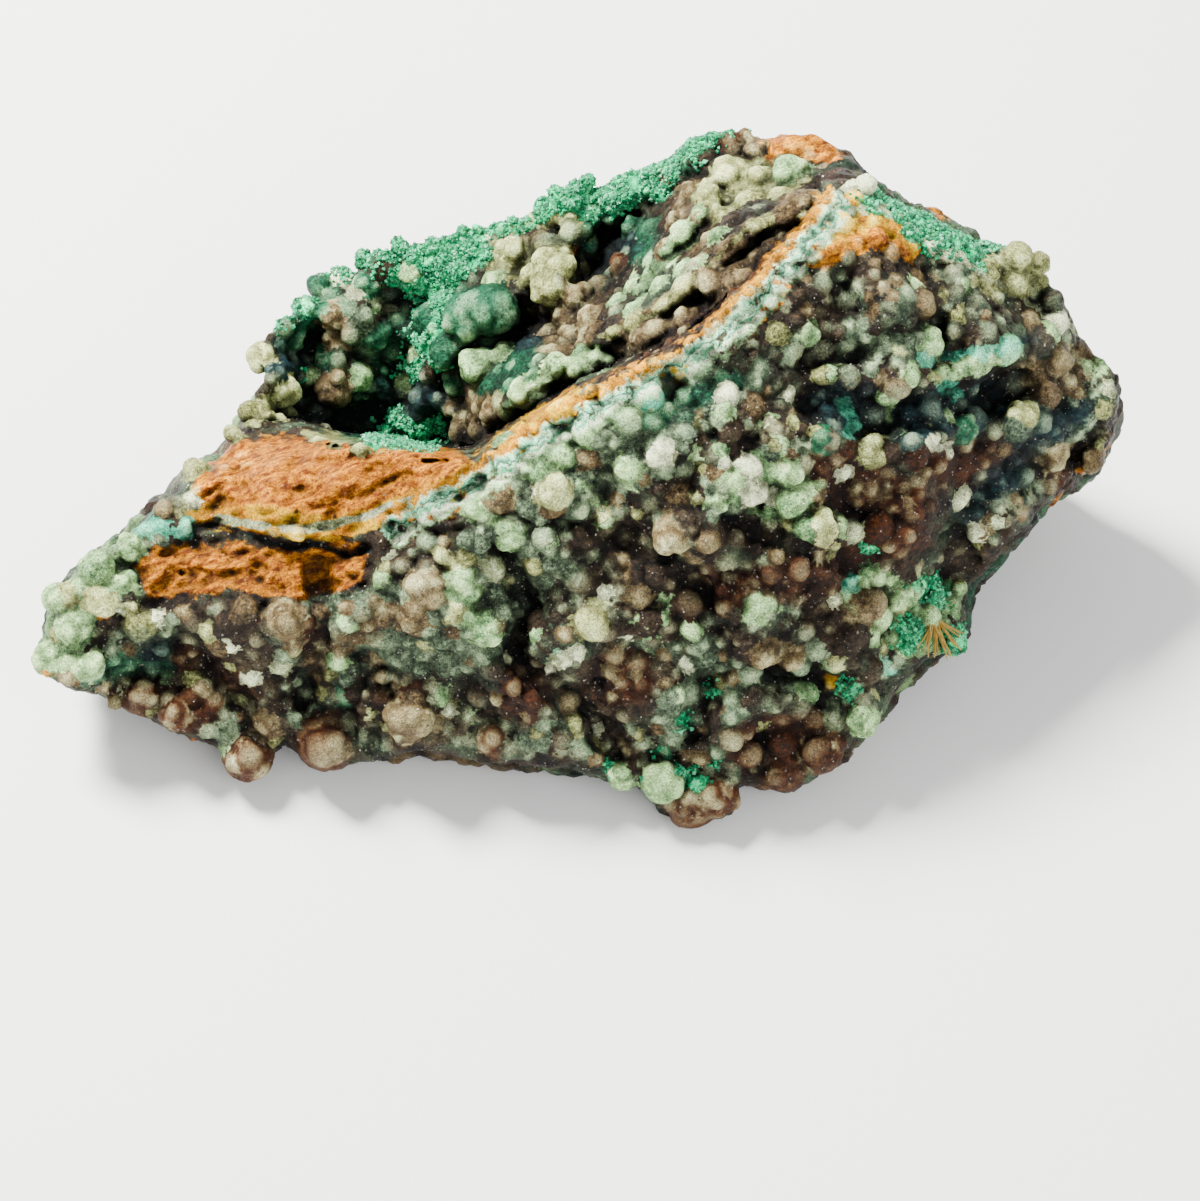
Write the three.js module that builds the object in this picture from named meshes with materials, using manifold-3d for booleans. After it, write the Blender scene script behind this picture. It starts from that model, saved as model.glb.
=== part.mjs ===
// A chrysoprase specimen about 100 mm long: a broken lump of green chalcedony that is covered in
// grape-like lumps, with a sharp crest along its top and a crusted hollow behind the crest.
//
// Places on the stone are given as a viewer sees them who looks down on it from the front.
// `across` and `up` are millimetres in the plane that faces the viewer, and `toward` is the
// distance out of that plane towards the viewer. The stone rests on a flat break at z = 0.

import * as THREE from 'three';
import { mergeVertices } from 'three/addons/utils/BufferGeometryUtils.js';
import Module from 'manifold-3d';

const wasm = await Module();
wasm.setup();

// Driving dimensions, in millimetres
const VIEW_DISTANCE = 260;
const VIEW_ELEVATION = THREE.MathUtils.degToRad(55);
const VIEW_CENTRE = new THREE.Vector3(2.2, -10.5, 12);
const HALF_SIZE = new THREE.Vector3(50, 30, 20);
const HEART = { across: 3, up: 8, toward: -6 };
const EDGE_ROUNDING = 2.5;
const OUTLINE_ALLOWANCE = 0.9;
const FOOTPRINT_RADII = { x: 37, y: 28 };
const FOOTPRINT_RISE = 26;
const RELIEF = [{ cell: 7.5, height: 2 }, { cell: 4, height: 0.9 }];
const BODY_DETAIL = 11;
const LARGE_LUMP = 2.6;
const LUMP_FOOTING = 0.8;
const LUMP_SINK = 0.3;
const GAP = 0.3;
const CRUST_THICKNESS = 1.8;
const HOLLOW_DETAIL = 3;

// The outline of the whole stone, clockwise from its left tip: [across, up]
const OUTLINE = [
  [-52.7, -7.3], [-51.8, -3], [-50.2, 0.5], [-46.5, 4.5], [-42, 7.7], [-38.5, 12.4], [-35.3, 13.2],
  [-32.5, 17.4], [-29.8, 19.2], [-32.2, 22], [-31.8, 25], [-27, 27.8], [-25.8, 31.2], [-22, 33.6],
  [-15, 34.8], [-7.5, 36.3], [-4, 39.3], [3, 40.5], [8, 43], [12, 45.4], [15, 43.8], [20.5, 43.1],
  [23, 40.6], [26.2, 37.2], [33.5, 34.5], [40, 32.4], [42.2, 29], [44.3, 25], [48.2, 21], [47.5, 15],
  [45, 11], [40.5, 8], [34.2, 0.5], [33.3, -5], [28.5, -7.5], [25, -13], [18, -18.2], [13, -17.6],
  [12, -20.3], [9.5, -21], [5.5, -20], [3.8, -17.5], [-5, -15.4], [-17, -14], [-24.5, -15.6],
  [-29, -13.5], [-32.8, -16.2], [-35.5, -14], [-42.5, -11.6], [-48.5, -8.9],
];

// The wall behind the back rim, seen from above, from left to right: [x, y]
const BACK_WALL = [
  [-54, -9], [-38, 2], [-30, 16.5], [-24, 24], [-10, 25.8], [4, 28.8], [14, 30.5], [22, 28], [38, 18],
  [54, 8],
];

// How far the surface stands toward the viewer before the hollow is opened: [across, up, toward]
const SOUNDINGS = [
  [9, -19, 0.5], [4, -15, 1], [16, -14, 1], [0, -12, 3], [-12, -11, 1.5], [-25, -11, 0],
  [-33, -14, -0.5], [-42, -9, 0], [-50, -6, 3], [-46, 0, 4], [-40, 4, 5], [-36, 10, 4],
  [-30, 9, 8], [-22, 9, 9], [-33, 1, 6.5], [-22, 0, 7.5], [-12, 0, 9], [0, 0, 10], [12, -2, 9.5],
  [22, -3, 6], [29, -3, 0], [33, 1, -4], [-20, -7, 5], [-8, -7, 7], [4, -8, 7], [14, -9, 6],
  [22, -10, 2], [-12, 8, 12], [-3, 9, 13.5], [8, 9, 14], [18, 8, 12.5], [28, 7, 8], [36, 8, 1],
  [42, 11, -3], [-11, 12, 12], [0, 18, 14.5], [9, 24, 15], [15, 28, 14.5], [20, 33, 12],
  [23.5, 37, 8], [10, 16, 15], [20, 17, 13], [28, 17, 10], [26, 26, 12], [34, 24, 7], [32, 32, 6],
  [38, 17, 4], [44, 17, -1], [46, 22, -2.5], [40, 29, -1], [36, 33, 1], [14, 38, 1], [20, 42, -3],
  [12, 44, -6], [3, 40, -8.5], [-4, 38, -9.5], [-10, 35, -10], [-18, 33, -12], [-25, 31, -13.5],
  [-31, 24, -11], [-31, 19, -7], [-37, 13, -1],
];
const SOUNDING_REACH = 3;

// The hollow behind the crest, as stretched balls: [across, up, toward] of the middle, its radii
// along X, Y and Z, and the lean of its long axis up to the right, in degrees
const HOLLOWS = [
  { middle: [-14, 24, 0], radii: [17, 12, 14.5], lean: 8 },
  { middle: [0, 30.5, 1], radii: [10, 8.5, 11], lean: 25 },
];

// The troughs and pits of bare stone between the ledges
const TROUGHS = [
  { middle: [9.5, 28, 11], radii: [10, 5, 9], lean: 38 },
  { middle: [8, 33.5, 6], radii: [6, 3.5, 10], lean: 35 },
  { middle: [15, 36.3, 6], radii: [3.2, 2.6, 6], lean: 20 },
  { middle: [13, 42.8, -1], radii: [3, 2, 4.5], lean: 0 },
];

// The thin ledges that stand in the troughs: the route of each rim, how far it stands toward the
// viewer, and how deep its plate goes
const LEDGES = [
  { rim: [[0, 24], [5, 25.5], [8, 28.5], [12, 32], [14, 34.3], [19.5, 35.2]], toward: 8, depth: 10 },
  { rim: [[3, 26], [5, 30], [8, 33.5], [10, 36.5]], toward: 3.5, depth: 10 },
];
const LEDGE_WIDTH = 1.8;

// The open fissure below the orange ledge on the left
const FISSURE = {
  rim: [[-38, 6.5], [-35, 7], [-31, 5.7], [-28.5, 4.8], [-24, 4.8], [-20, 5.2]], toward: 14, depth: 8.5,
};
const FISSURE_WIDTH = 1.3;

// Lumps on the outside: [across, up, radius]
const OUTER_LUMPS = [
  // Left tip and left front
  [-50, -5.5, 2.6], [-46, 0.3, 2.8], [-42.5, -6.5, 3.2], [-41, 3.5, 2.4], [-37, 11, 2.2],
  [-33, -13.3, 3.1], [-29, -2, 2.3], [-24.5, -12.5, 3.1], [-35.5, -7.5, 2.4], [-17, -11, 2.6],
  // Lumps along the front
  [-16, 1, 2.9], [-12.3, 1.6, 2.3], [-16.5, -3, 2.4], [-10.5, -3, 2.1], [-9.3, 6.8, 2.4],
  [-5, 8.4, 2.4], [-0.3, -1.5, 2.7], [-5.5, -3.5, 2.1], [4, -2.5, 1.9], [6.5, 6, 2.4],
  [5.5, 13.2, 2.7], [-0.8, 12.8, 1.9], [14, 11, 2.7], [18, 9, 2.2], [20.5, 6.5, 2.1],
  [15, -1, 2.4], [15.8, -5, 2.2], [18.5, -9, 2.1], [-2.5, -11.2, 2], [8.6, -18, 3.1],
  [5.5, -16, 2.4], [0.5, -14.3, 2.2], [16, -15.2, 2.8], [23.5, -10.5, 2.2],
  // Right front and right tip
  [25, -0.8, 2.8], [29, 0, 2.1], [29.5, -4, 2.3], [33.5, 0.3, 1.8], [25, 13.5, 2.4],
  [31, 16.5, 2], [38.5, 17.3, 2], [41.7, 13.5, 2.6], [44.5, 18.5, 2.2], [41.8, 22.3, 2.3],
  [46.3, 21.5, 1.8], [30, 24, 2.3], [26.5, 19, 2], [19.5, 24, 2], [34, 29, 2], [40, 29.5, 2.8],
  // Crest and peak
  [9.5, 22.3, 1.7], [13.5, 26, 1.8], [17, 29.8, 1.8], [20.8, 34, 2.2], [24, 35.8, 2.2],
  // Top cluster and back rim
  [12, 39.3, 2.2], [17.6, 38.9, 2.3], [-13, 33.6, 2], [-2.5, 37.8, 2.1], [5, 40, 2.1], [21, 40.8, 2],
];

// Lumps on the crust in the hollow: [across, up, radius]
const HOLLOW_LUMPS = [
  [-28.8, 20.8, 1.7], [-26.5, 23.6, 1.6], [-24.3, 20, 1.9], [-21.5, 24.5, 1.8], [-22.5, 29, 1.8],
  [-17.5, 30, 1.5], [-15.3, 26.5, 1.9], [-18, 21.5, 1.6], [-13.2, 20.2, 1.6], [-9.5, 26.3, 2.8],
  [-10.8, 22, 1.8], [-8.2, 31.5, 1.7], [-9.5, 17.5, 1.8], [-13.5, 16.3, 1.8], [-18, 16.6, 1.7],
  [-4.5, 29.3, 2.1], [-3.2, 26.4, 1.6], [-2, 24.2, 1.6], [-6, 20.3, 1.7], [-1.2, 32.2, 1.4],
  [2.3, 29, 1.5], [-3.5, 34.5, 1.4], [-12, 30.5, 1.6],
];

const SKY = new THREE.Vector3(0, 0, 1);
const ACROSS = new THREE.Vector3(1, 0, 0);
const UP = new THREE.Vector3(0, Math.sin(VIEW_ELEVATION), Math.cos(VIEW_ELEVATION));
const TOWARD = new THREE.Vector3(0, -Math.cos(VIEW_ELEVATION), Math.sin(VIEW_ELEVATION));

// The real place of a point that is given as the viewer sees it
function placeOf(across, up, toward) {
  const spread = (VIEW_DISTANCE - toward) / VIEW_DISTANCE;
  return VIEW_CENTRE.clone()
    .addScaledVector(ACROSS, across * spread)
    .addScaledVector(UP, up * spread)
    .addScaledVector(TOWARD, toward);
}

// Where the viewer sees a real place
function sightOf(place) {
  const offset = place.clone().sub(VIEW_CENTRE);
  const toward = offset.dot(TOWARD);
  const spread = (VIEW_DISTANCE - toward) / VIEW_DISTANCE;
  return { across: offset.dot(ACROSS) / spread, up: offset.dot(UP) / spread, toward };
}

// The larger of two distances, with the edge between them rounded
function roundedMax(first, second, rounding) {
  const nearness = Math.max(rounding - Math.abs(first - second), 0) / rounding;
  return Math.max(first, second) + nearness * nearness * rounding / 4;
}

// Distance from a seen point to the outline: below zero inside it
function outlineDistance(across, up) {
  let nearest = Infinity;
  let inside = false;
  for (let i = 0; i < OUTLINE.length; i += 1) {
    const [startX, startY] = OUTLINE[i];
    const [endX, endY] = OUTLINE[(i + 1) % OUTLINE.length];
    const alongX = endX - startX;
    const alongY = endY - startY;
    const dot = (across - startX) * alongX + (up - startY) * alongY;
    const share = THREE.MathUtils.clamp(dot / (alongX * alongX + alongY * alongY), 0, 1);
    nearest = Math.min(nearest, Math.hypot(across - startX - share * alongX, up - startY - share * alongY));
    if ((startY > up) !== (endY > up) && across < startX + (up - startY) * alongX / alongY) {
      inside = !inside;
    }
  }
  return inside ? -nearest : nearest;
}

// How far the uncut surface stands toward the viewer, from the soundings around the place
function surfaceToward(across, up) {
  let sum = 0;
  let weights = 0;
  for (const [x, y, toward] of SOUNDINGS) {
    const distanceSquared = (across - x) ** 2 + (up - y) ** 2;
    const weight = 1 / (distanceSquared + SOUNDING_REACH ** 2) ** 2;
    sum += toward * weight;
    weights += weight;
  }
  return sum / weights;
}

// A repeatable pseudo-random number from 0 to 1 for each whole-number place
function scatter(x, y, z) {
  const wave = Math.sin(x * 127.1 + y * 311.7 + z * 74.7) * 43758.5453;
  return wave - Math.floor(wave);
}

// Grape-like relief: the height of the nearest of many domes, one in each cell of a loose grid
function domes(place, cell) {
  let nearest = Infinity;
  const base = place.clone().divideScalar(cell).floor();
  for (let x = base.x - 1; x <= base.x + 1; x += 1) {
    for (let y = base.y - 1; y <= base.y + 1; y += 1) {
      for (let z = base.z - 1; z <= base.z + 1; z += 1) {
        const dome = new THREE.Vector3(x + scatter(x, y, z), y + scatter(y, z, x), z + scatter(z, x, y));
        nearest = Math.min(nearest, dome.multiplyScalar(cell).distanceTo(place));
      }
    }
  }
  return 1 - nearest / cell;
}

// Where the wall behind the back rim stands at one x
function backWall(x) {
  const next = Math.max(1, BACK_WALL.findIndex(([wallX]) => wallX > x));
  const [startX, startY] = BACK_WALL[next - 1];
  const [endX, endY] = BACK_WALL[next];
  return startY + (endY - startY) * (x - startX) / (endX - startX);
}

// The height of the underside, which rises outside the footprint that the stone rests on
function underside(place) {
  const reach = Math.hypot(place.x / FOOTPRINT_RADII.x, place.y / FOOTPRINT_RADII.y);
  return FOOTPRINT_RISE * Math.max(reach - 1, 0) - EDGE_ROUNDING;
}

// Distance-like measure of the stone before the hollow is opened: below zero inside it
function stoneField(place) {
  const { across, up, toward } = sightOf(place);
  const above = toward - surfaceToward(across, up);
  const beside = outlineDistance(across, up) - OUTLINE_ALLOWANCE;
  const behind = place.y - backWall(place.x);
  const below = underside(place) - place.z;
  const walls = roundedMax(roundedMax(above, beside, EDGE_ROUNDING), behind, EDGE_ROUNDING);
  const relief = RELIEF.reduce((sum, { cell, height }) => sum + height * (domes(place, cell) - 0.5), 0);
  return roundedMax(walls, below, EDGE_ROUNDING) - relief;
}

// A closed manifold-3d solid from a three.js geometry
function solidOf(geometry) {
  const bare = geometry.clone();
  bare.deleteAttribute('normal');
  bare.deleteAttribute('uv');
  const merged = mergeVertices(bare);
  const vertProperties = new Float32Array(merged.attributes.position.array);
  const triVerts = new Uint32Array(merged.index.array);
  return new wasm.Manifold(new wasm.Mesh({ numProp: 3, vertProperties, triVerts }));
}

function geometryOf(solid) {
  const mesh = solid.getMesh();
  const geometry = new THREE.BufferGeometry();
  geometry.setAttribute('position', new THREE.BufferAttribute(new Float32Array(mesh.vertProperties), 3));
  geometry.setIndex(new THREE.BufferAttribute(new Uint32Array(mesh.triVerts), 1));
  geometry.computeVertexNormals();
  return geometry;
}

// Moves every vertex of a geometry to the place that `move` returns for it
function moveVertices(geometry, move) {
  const position = geometry.attributes.position;
  for (let i = 0; i < position.count; i += 1) {
    const place = move(new THREE.Vector3().fromBufferAttribute(position, i));
    position.setXYZ(i, place.x, place.y, place.z);
  }
  return geometry;
}

// The last place inside the stone on the way from its heart in one direction
function castFromHeart(heart, direction) {
  const step = 1;
  let inside = 0;
  while (stoneField(heart.clone().addScaledVector(direction, inside + step)) < 0) {
    inside += step;
  }
  let outside = inside + step;
  for (let round = 0; round < 8; round += 1) {
    const middle = (inside + outside) / 2;
    if (stoneField(heart.clone().addScaledVector(direction, middle)) < 0) {
      inside = middle;
    } else {
      outside = middle;
    }
  }
  return heart.clone().addScaledVector(direction, inside);
}

// The uncut stone: a fine ball whose vertices are pushed out to the surface
function uncutStone() {
  const heart = placeOf(HEART.across, HEART.up, HEART.toward);
  const ball = new THREE.IcosahedronGeometry(1, BODY_DETAIL);
  moveVertices(ball, (vertex) => castFromHeart(heart, vertex.multiply(HALF_SIZE).normalize()));
  return solidOf(ball);
}

// The space below the flat break that the stone rests on
function spaceBelow() {
  const box = new THREE.BoxGeometry(4 * HALF_SIZE.x, 4 * HALF_SIZE.y, HALF_SIZE.z);
  box.translate(0, 0, -HALF_SIZE.z / 2);
  return solidOf(box);
}

// A stretched ball whose radii are cut back by `inset`
function stretchedBall({ middle, radii, lean }, inset) {
  const ball = new THREE.IcosahedronGeometry(1, HOLLOW_DETAIL);
  ball.scale(radii[0] - inset, radii[1] - inset, radii[2] - inset);
  ball.rotateY(-THREE.MathUtils.degToRad(lean));
  const place = placeOf(...middle);
  ball.translate(place.x, place.y, place.z);
  return solidOf(ball);
}

function joined(solids) {
  return solids.reduce((sum, solid) => sum.add(solid));
}

// Whether a place lies in one of the stretched balls, cut back by `inset`
function isInBall(place, { middle, radii, lean }, inset) {
  const local = place.clone().sub(placeOf(...middle));
  local.applyAxisAngle(new THREE.Vector3(0, 1, 0), THREE.MathUtils.degToRad(lean));
  const shape = new THREE.Vector3(radii[0] - inset, radii[1] - inset, radii[2] - inset);
  return local.divide(shape).length() < 1;
}

// The first place in the stone that the viewer meets at a seen point, where `openings` have been
// taken out, or nothing where the line of sight passes the stone by
function firstSurface(across, up, openings, inset) {
  const step = 0.25;
  const nearest = surfaceToward(across, up) + 3;
  for (let toward = nearest; toward > nearest - 2 * HALF_SIZE.y; toward -= step) {
    const place = placeOf(across, up, toward);
    if (stoneField(place) < -LUMP_FOOTING && !openings.some((ball) => isInBall(place, ball, inset))) {
      return place;
    }
  }
  return null;
}

// A lump that sits on the first surface at the seen point, or just inside the outline
function lump([across, up, radius], openings, inset) {
  const inward = 0.98;
  let place = null;
  let share = 1;
  while (!place || place.z < 0) {
    place = firstSurface(across * share, up * share, openings, inset);
    share *= inward;
  }
  const ball = radius < LARGE_LUMP
    ? new THREE.DodecahedronGeometry(radius, 0)
    : new THREE.IcosahedronGeometry(radius, 1);
  place.addScaledVector(TOWARD, -LUMP_SINK * radius);
  ball.rotateZ(across);
  ball.translate(place.x, place.y, place.z);
  return solidOf(ball);
}

// A plate that stands along the line of sight, with its rim on a route in the facing plane
function plate({ rim, toward, depth }, width) {
  const route = new THREE.CatmullRomCurve3(rim.map(([x, y]) => new THREE.Vector3(x, y, 0)));
  const stations = 2 * rim.length;
  const near = [];
  const far = [];
  for (let i = 0; i <= stations; i += 1) {
    const share = i / stations;
    const middle = route.getPoint(share);
    const side = new THREE.Vector3().crossVectors(SKY, route.getTangent(share)).normalize();
    const half = width / 2 * (0.75 + 0.5 * scatter(i, stations, width));
    near.push(middle.clone().addScaledVector(side, -half));
    far.unshift(middle.clone().addScaledVector(side, half));
  }
  const shape = new THREE.Shape([...near, ...far].map(({ x, y }) => new THREE.Vector2(x, y)));
  const extruded = new THREE.ExtrudeGeometry(shape, { depth, bevelEnabled: false, steps: 1 });
  moveVertices(extruded, ({ x, y, z }) => placeOf(x, y, toward - depth + z));
  return solidOf(extruded);
}

function makeStone() {
  const openings = [...HOLLOWS, ...TROUGHS];
  const open = uncutStone().subtract(joined(openings.map((ball) => stretchedBall(ball, 0))));
  const ledges = LEDGES.map((ledge) => plate(ledge, LEDGE_WIDTH));
  const lumps = OUTER_LUMPS.map((place) => lump(place, TROUGHS, 0));
  const hollow = joined(HOLLOWS.map((ball) => stretchedBall(ball, 0)));
  const grown = joined([...ledges, ...lumps]).subtract(hollow);
  const fissure = plate(FISSURE, FISSURE_WIDTH);
  return open.add(grown).subtract(fissure).subtract(spaceBelow());
}

function makeCrust() {
  const outside = joined(HOLLOWS.map((ball) => stretchedBall(ball, GAP)));
  const inside = joined(HOLLOWS.map((ball) => stretchedBall(ball, GAP + CRUST_THICKNESS)));
  const lumps = HOLLOW_LUMPS.map((place) => lump(place, HOLLOWS, GAP + CRUST_THICKNESS));
  const lining = outside.subtract(inside).add(joined(lumps).intersect(outside));
  return lining.intersect(uncutStone());
}

function chalcedony() {
  return new THREE.MeshStandardMaterial({ color: 0x8a8f78, roughness: 0.5, metalness: 0 });
}

function greenCrust() {
  return new THREE.MeshStandardMaterial({ color: 0x6f8f76, roughness: 0.45, metalness: 0 });
}

function namedMesh(name, solid, material) {
  const mesh = new THREE.Mesh(geometryOf(solid), material);
  mesh.name = name;
  return mesh;
}

const specimen = new THREE.Group();
specimen.add(namedMesh('stone', makeStone(), chalcedony()));
specimen.add(namedMesh('hollow_crust', makeCrust(), greenCrust()));

export default specimen;
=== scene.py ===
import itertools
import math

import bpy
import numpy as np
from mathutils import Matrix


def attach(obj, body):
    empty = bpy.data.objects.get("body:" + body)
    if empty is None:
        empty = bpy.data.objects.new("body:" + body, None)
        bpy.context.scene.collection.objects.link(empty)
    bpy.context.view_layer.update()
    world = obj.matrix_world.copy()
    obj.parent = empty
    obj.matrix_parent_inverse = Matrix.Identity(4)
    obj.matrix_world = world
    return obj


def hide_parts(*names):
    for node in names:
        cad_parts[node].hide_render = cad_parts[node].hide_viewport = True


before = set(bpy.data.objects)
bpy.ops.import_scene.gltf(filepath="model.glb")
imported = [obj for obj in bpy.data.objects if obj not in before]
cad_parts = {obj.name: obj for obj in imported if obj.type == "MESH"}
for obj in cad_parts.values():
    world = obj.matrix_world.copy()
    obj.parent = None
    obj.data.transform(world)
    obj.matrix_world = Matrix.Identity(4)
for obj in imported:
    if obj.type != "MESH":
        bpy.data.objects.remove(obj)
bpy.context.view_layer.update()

# The looks of a chrysoprase specimen: a broken lump of green chalcedony, its grape-like lumps, its
# crest, its ledges and the crust in its hollow. Lengths are in millimetres until a mesh is made.
#
# Places are given as seen from the photograph's viewpoint: `across` and `up` lie in the plane that
# faces the viewer and `toward` points out of it. The stone is first a relief over that plane. It
# then becomes a field on a fine grid, on which the lumps grow, and the mesh is taken from that.

import openvdb
from mathutils import Matrix, Vector

# The viewpoint: how far it is from the centre of the view, and how high it looks down from
VIEW_DISTANCE = 260.0
VIEW_ELEVATION = math.radians(55)
VIEW_CENTRE = np.array([2.2, -10.5, 12.0])
METRES = 0.001

AXIS_ACROSS = np.array([1.0, 0.0, 0.0])
AXIS_UP = np.array([0.0, math.sin(VIEW_ELEVATION), math.cos(VIEW_ELEVATION)])
AXIS_TOWARD = np.array([0.0, -math.cos(VIEW_ELEVATION), math.sin(VIEW_ELEVATION)])

# The grids: their steps, the low and the high corner of the space that each fills, and the most
# triangles of the mesh that is taken from it
RELIEF_STEP = 0.2
STONE_STEP = 0.27
STONE_SPACE = ((-56, -25, -37), (52, 49, 19))
CRUST_STEP = 0.25
CRUST_SPACE = ((-34, 12, -24), (23, 45, 14))
STONE_TRIANGLES = 196000
CRUST_TRIANGLES = 150000

# The flat foot: half its length and width, and how steeply the underside rises around it
FOOTPRINT_RADII = (37.0, 28.0)
FOOTPRINT_RISE = 26.0
EDGE_ROUNDING = 2.0

# The crust of the hollow, and the bed for it: its depth in the stone, and how far in it starts
CRUST_THICKNESS = 2.0
BED_DEPTH = 0.9
BED_INSET = 0.4

# The outline of the stone, clockwise from its left tip: [across, up]
OUTLINE = [
    (-52.7, -7.3), (-52, -4), (-50.2, -0.5), (-48.5, 2.8), (-44, 6), (-40, 10), (-38.3, 12.6),
    (-35.3, 13.2), (-32.5, 17.4), (-29.5, 19.7), (-32.3, 22), (-31, 25.4), (-26.9, 27.7), (-25.8, 31),
    (-22, 33.6), (-19, 33.4), (-15, 34.8), (-7.5, 36.3), (-4, 39.3), (3, 40.5), (8, 43), (12, 45.4),
    (15, 43.8), (20.5, 43.1), (23, 41), (23.4, 39.7), (26.2, 37.2), (30, 36), (34.8, 33.4), (40, 32.4),
    (42.2, 30.5), (42.4, 28.3), (44.3, 25), (48.2, 21), (47.5, 15), (45, 11), (40.5, 8), (37.5, 5),
    (34.2, 0.5), (33.5, -4), (30.5, -5.8), (28, -8), (26, -11.3), (22, -15), (18, -18.2), (13, -17.5),
    (12.5, -20), (10, -21), (5.5, -20), (3.8, -17.5), (-2, -15.7), (-10, -15.2), (-17, -14),
    (-24.5, -15.6), (-29, -13.5), (-32.8, -16.2), (-35.5, -14), (-42.5, -11.6), (-48.5, -8.9),
]

# The wall behind the back rim, seen from above: (x, y)
BACK_WALL = [
    (-54, -9), (-38, 2), (-30, 16.5), (-24, 24), (-10, 25.8), (4, 28.8), (14, 30.5), (22, 28), (38, 18),
    (54, 8),
]

WALL_INSET = 0.8

# How far the outer surface stands toward the viewer: (across, up, toward)
SOUNDINGS = [
    (9, -19, 0.5), (4, -15, 1), (16, -14, 1), (0, -12, 3), (-12, -11, 1.5), (-25, -11, 0),
    (-33, -14, -0.5), (-42, -9, 0), (-50, -6, 3), (-46, 0, 4), (-40, 4, 5), (-36, 10, 4), (-30, 9, 8),
    (-22, 9, 9), (-33, 1, 6.5), (-22, 0, 7.5), (-12, 0, 9), (0, 0, 10), (12, -2, 9.5), (22, -3, 6),
    (29, -3, 0), (33, 1, -4), (-20, -7, 5), (-8, -7, 7), (4, -8, 7), (14, -9, 6), (22, -10, 2),
    (-12, 8, 12), (-3, 9, 13.5), (8, 9, 14), (18, 8, 12.5), (28, 7, 8), (36, 8, 1), (42, 11, -3),
    (-11, 12, 12), (0, 18, 14.5), (9, 24, 15), (15, 28, 14.5), (20, 33, 12), (23.5, 37, 8), (10, 16, 15),
    (20, 17, 13), (28, 17, 10), (26, 26, 12), (34, 24, 7), (32, 32, 6), (38, 17, 4), (44, 17, -1),
    (46, 22, -2.5), (40, 29, 0.6), (36, 33, 1), (20, 42, -3), (12, 44, -6), (3, 40, -8.5), (-4, 38, -9.5),
    (-10, 35, -10), (-18, 33, -12), (-25, 31, -13.5), (-31, 24, -11), (-31, 19, -7), (-37, 13, -1),
]
SOUNDING_REACH = 3.0

# The edge of the hollow: along its back rim from the left, and along the crest from the right
HOLLOW_BACK = [
    (-32.5, 17), (-32.5, 19), (-30.5, 21), (-30.5, 24.5), (-28, 26.5), (-24.5, 30.5), (-20, 31),
    (-15, 31.5), (-10, 33), (-5, 36), (-1, 37), (4, 38), (8, 40.5), (10.5, 42.5), (14, 43.2),
    (16.5, 41.5), (20, 40), (21, 38),
]
HOLLOW_CREST = [
    (21, 38), (19, 35), (17, 32.5), (15, 30), (12, 27), (9, 24.3), (5, 22), (0, 20), (-4.5, 17.5),
    (-8.5, 15), (-11.5, 13), (-15, 13), (-21, 14), (-24.5, 14.6), (-27.5, 15.8), (-30, 16), (-32.5, 17),
]
# How far in from its edge the hollow is at its full depth: at the back and below the crest
BACK_SLOPE = 4.0
CREST_SLOPE = 1.4

# How far the floor of the hollow stands toward the viewer: (across, up, toward)
FLOOR = [
    (-30, 20, -10), (-27, 19.5, -16), (-26, 18, -15), (-22, 17, -17), (-15, 15.5, -15), (-19, 20.5, -15),
    (-27, 23, -15), (-24, 21, -12), (-23, 27, -12), (-18.5, 27.5, -14), (-13, 24, -8), (-9.5, 26.5, -7),
    (-11, 21, -7), (-14, 19, -12), (-10, 16, -6), (-7, 24, -12), (-15, 30.5, -12), (-4, 20, 1),
    (-1, 22.5, 0), (-2, 26, -4), (-4.5, 30, -5), (-8, 32, -9), (1.5, 32.5, -14), (2, 28.5, -6),
    (-3, 34.5, -9), (3, 36, -10.5), (7.5, 37, -8), (12, 39, -2), (17.5, 39, -1), (15, 36, -5),
    (18.5, 36.5, 3), (13, 42.5, -9), (8, 25.5, 11), (12, 29, 11), (16, 32.3, 11), (5, 24, 10), (6, 28, 2),
    (10, 31.5, 3), (13, 35, 3), (4, 33, -11), (8, 36.5, -7), (19, 40, -3), (0, 30.5, -12),
    (10.5, 29.5, 9.5),
]
FLOOR_REACH = 1.2

# Thin ledges that stand up from the floor: their rims, (across, up, toward), and half widths
LEDGES = [
    ([(-8, 18.4, 1.5), (-5, 20.8, 3), (0, 21.8, 4.5)], 0.9),
    (
        [(0, 24, 4.5), (5, 26.2, 8.5), (8, 28.9, 9.5), (12, 32.4, 10), (14, 34.4, 9.5), (19.5, 35.6, 9)],
        0.6,
    ),
    ([(3, 26, 1), (5, 30, 2.5), (8, 33.5, 3), (10, 36.2, 2.5)], 0.7),
]
LEDGE_STEEPNESS = 3.0

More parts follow.
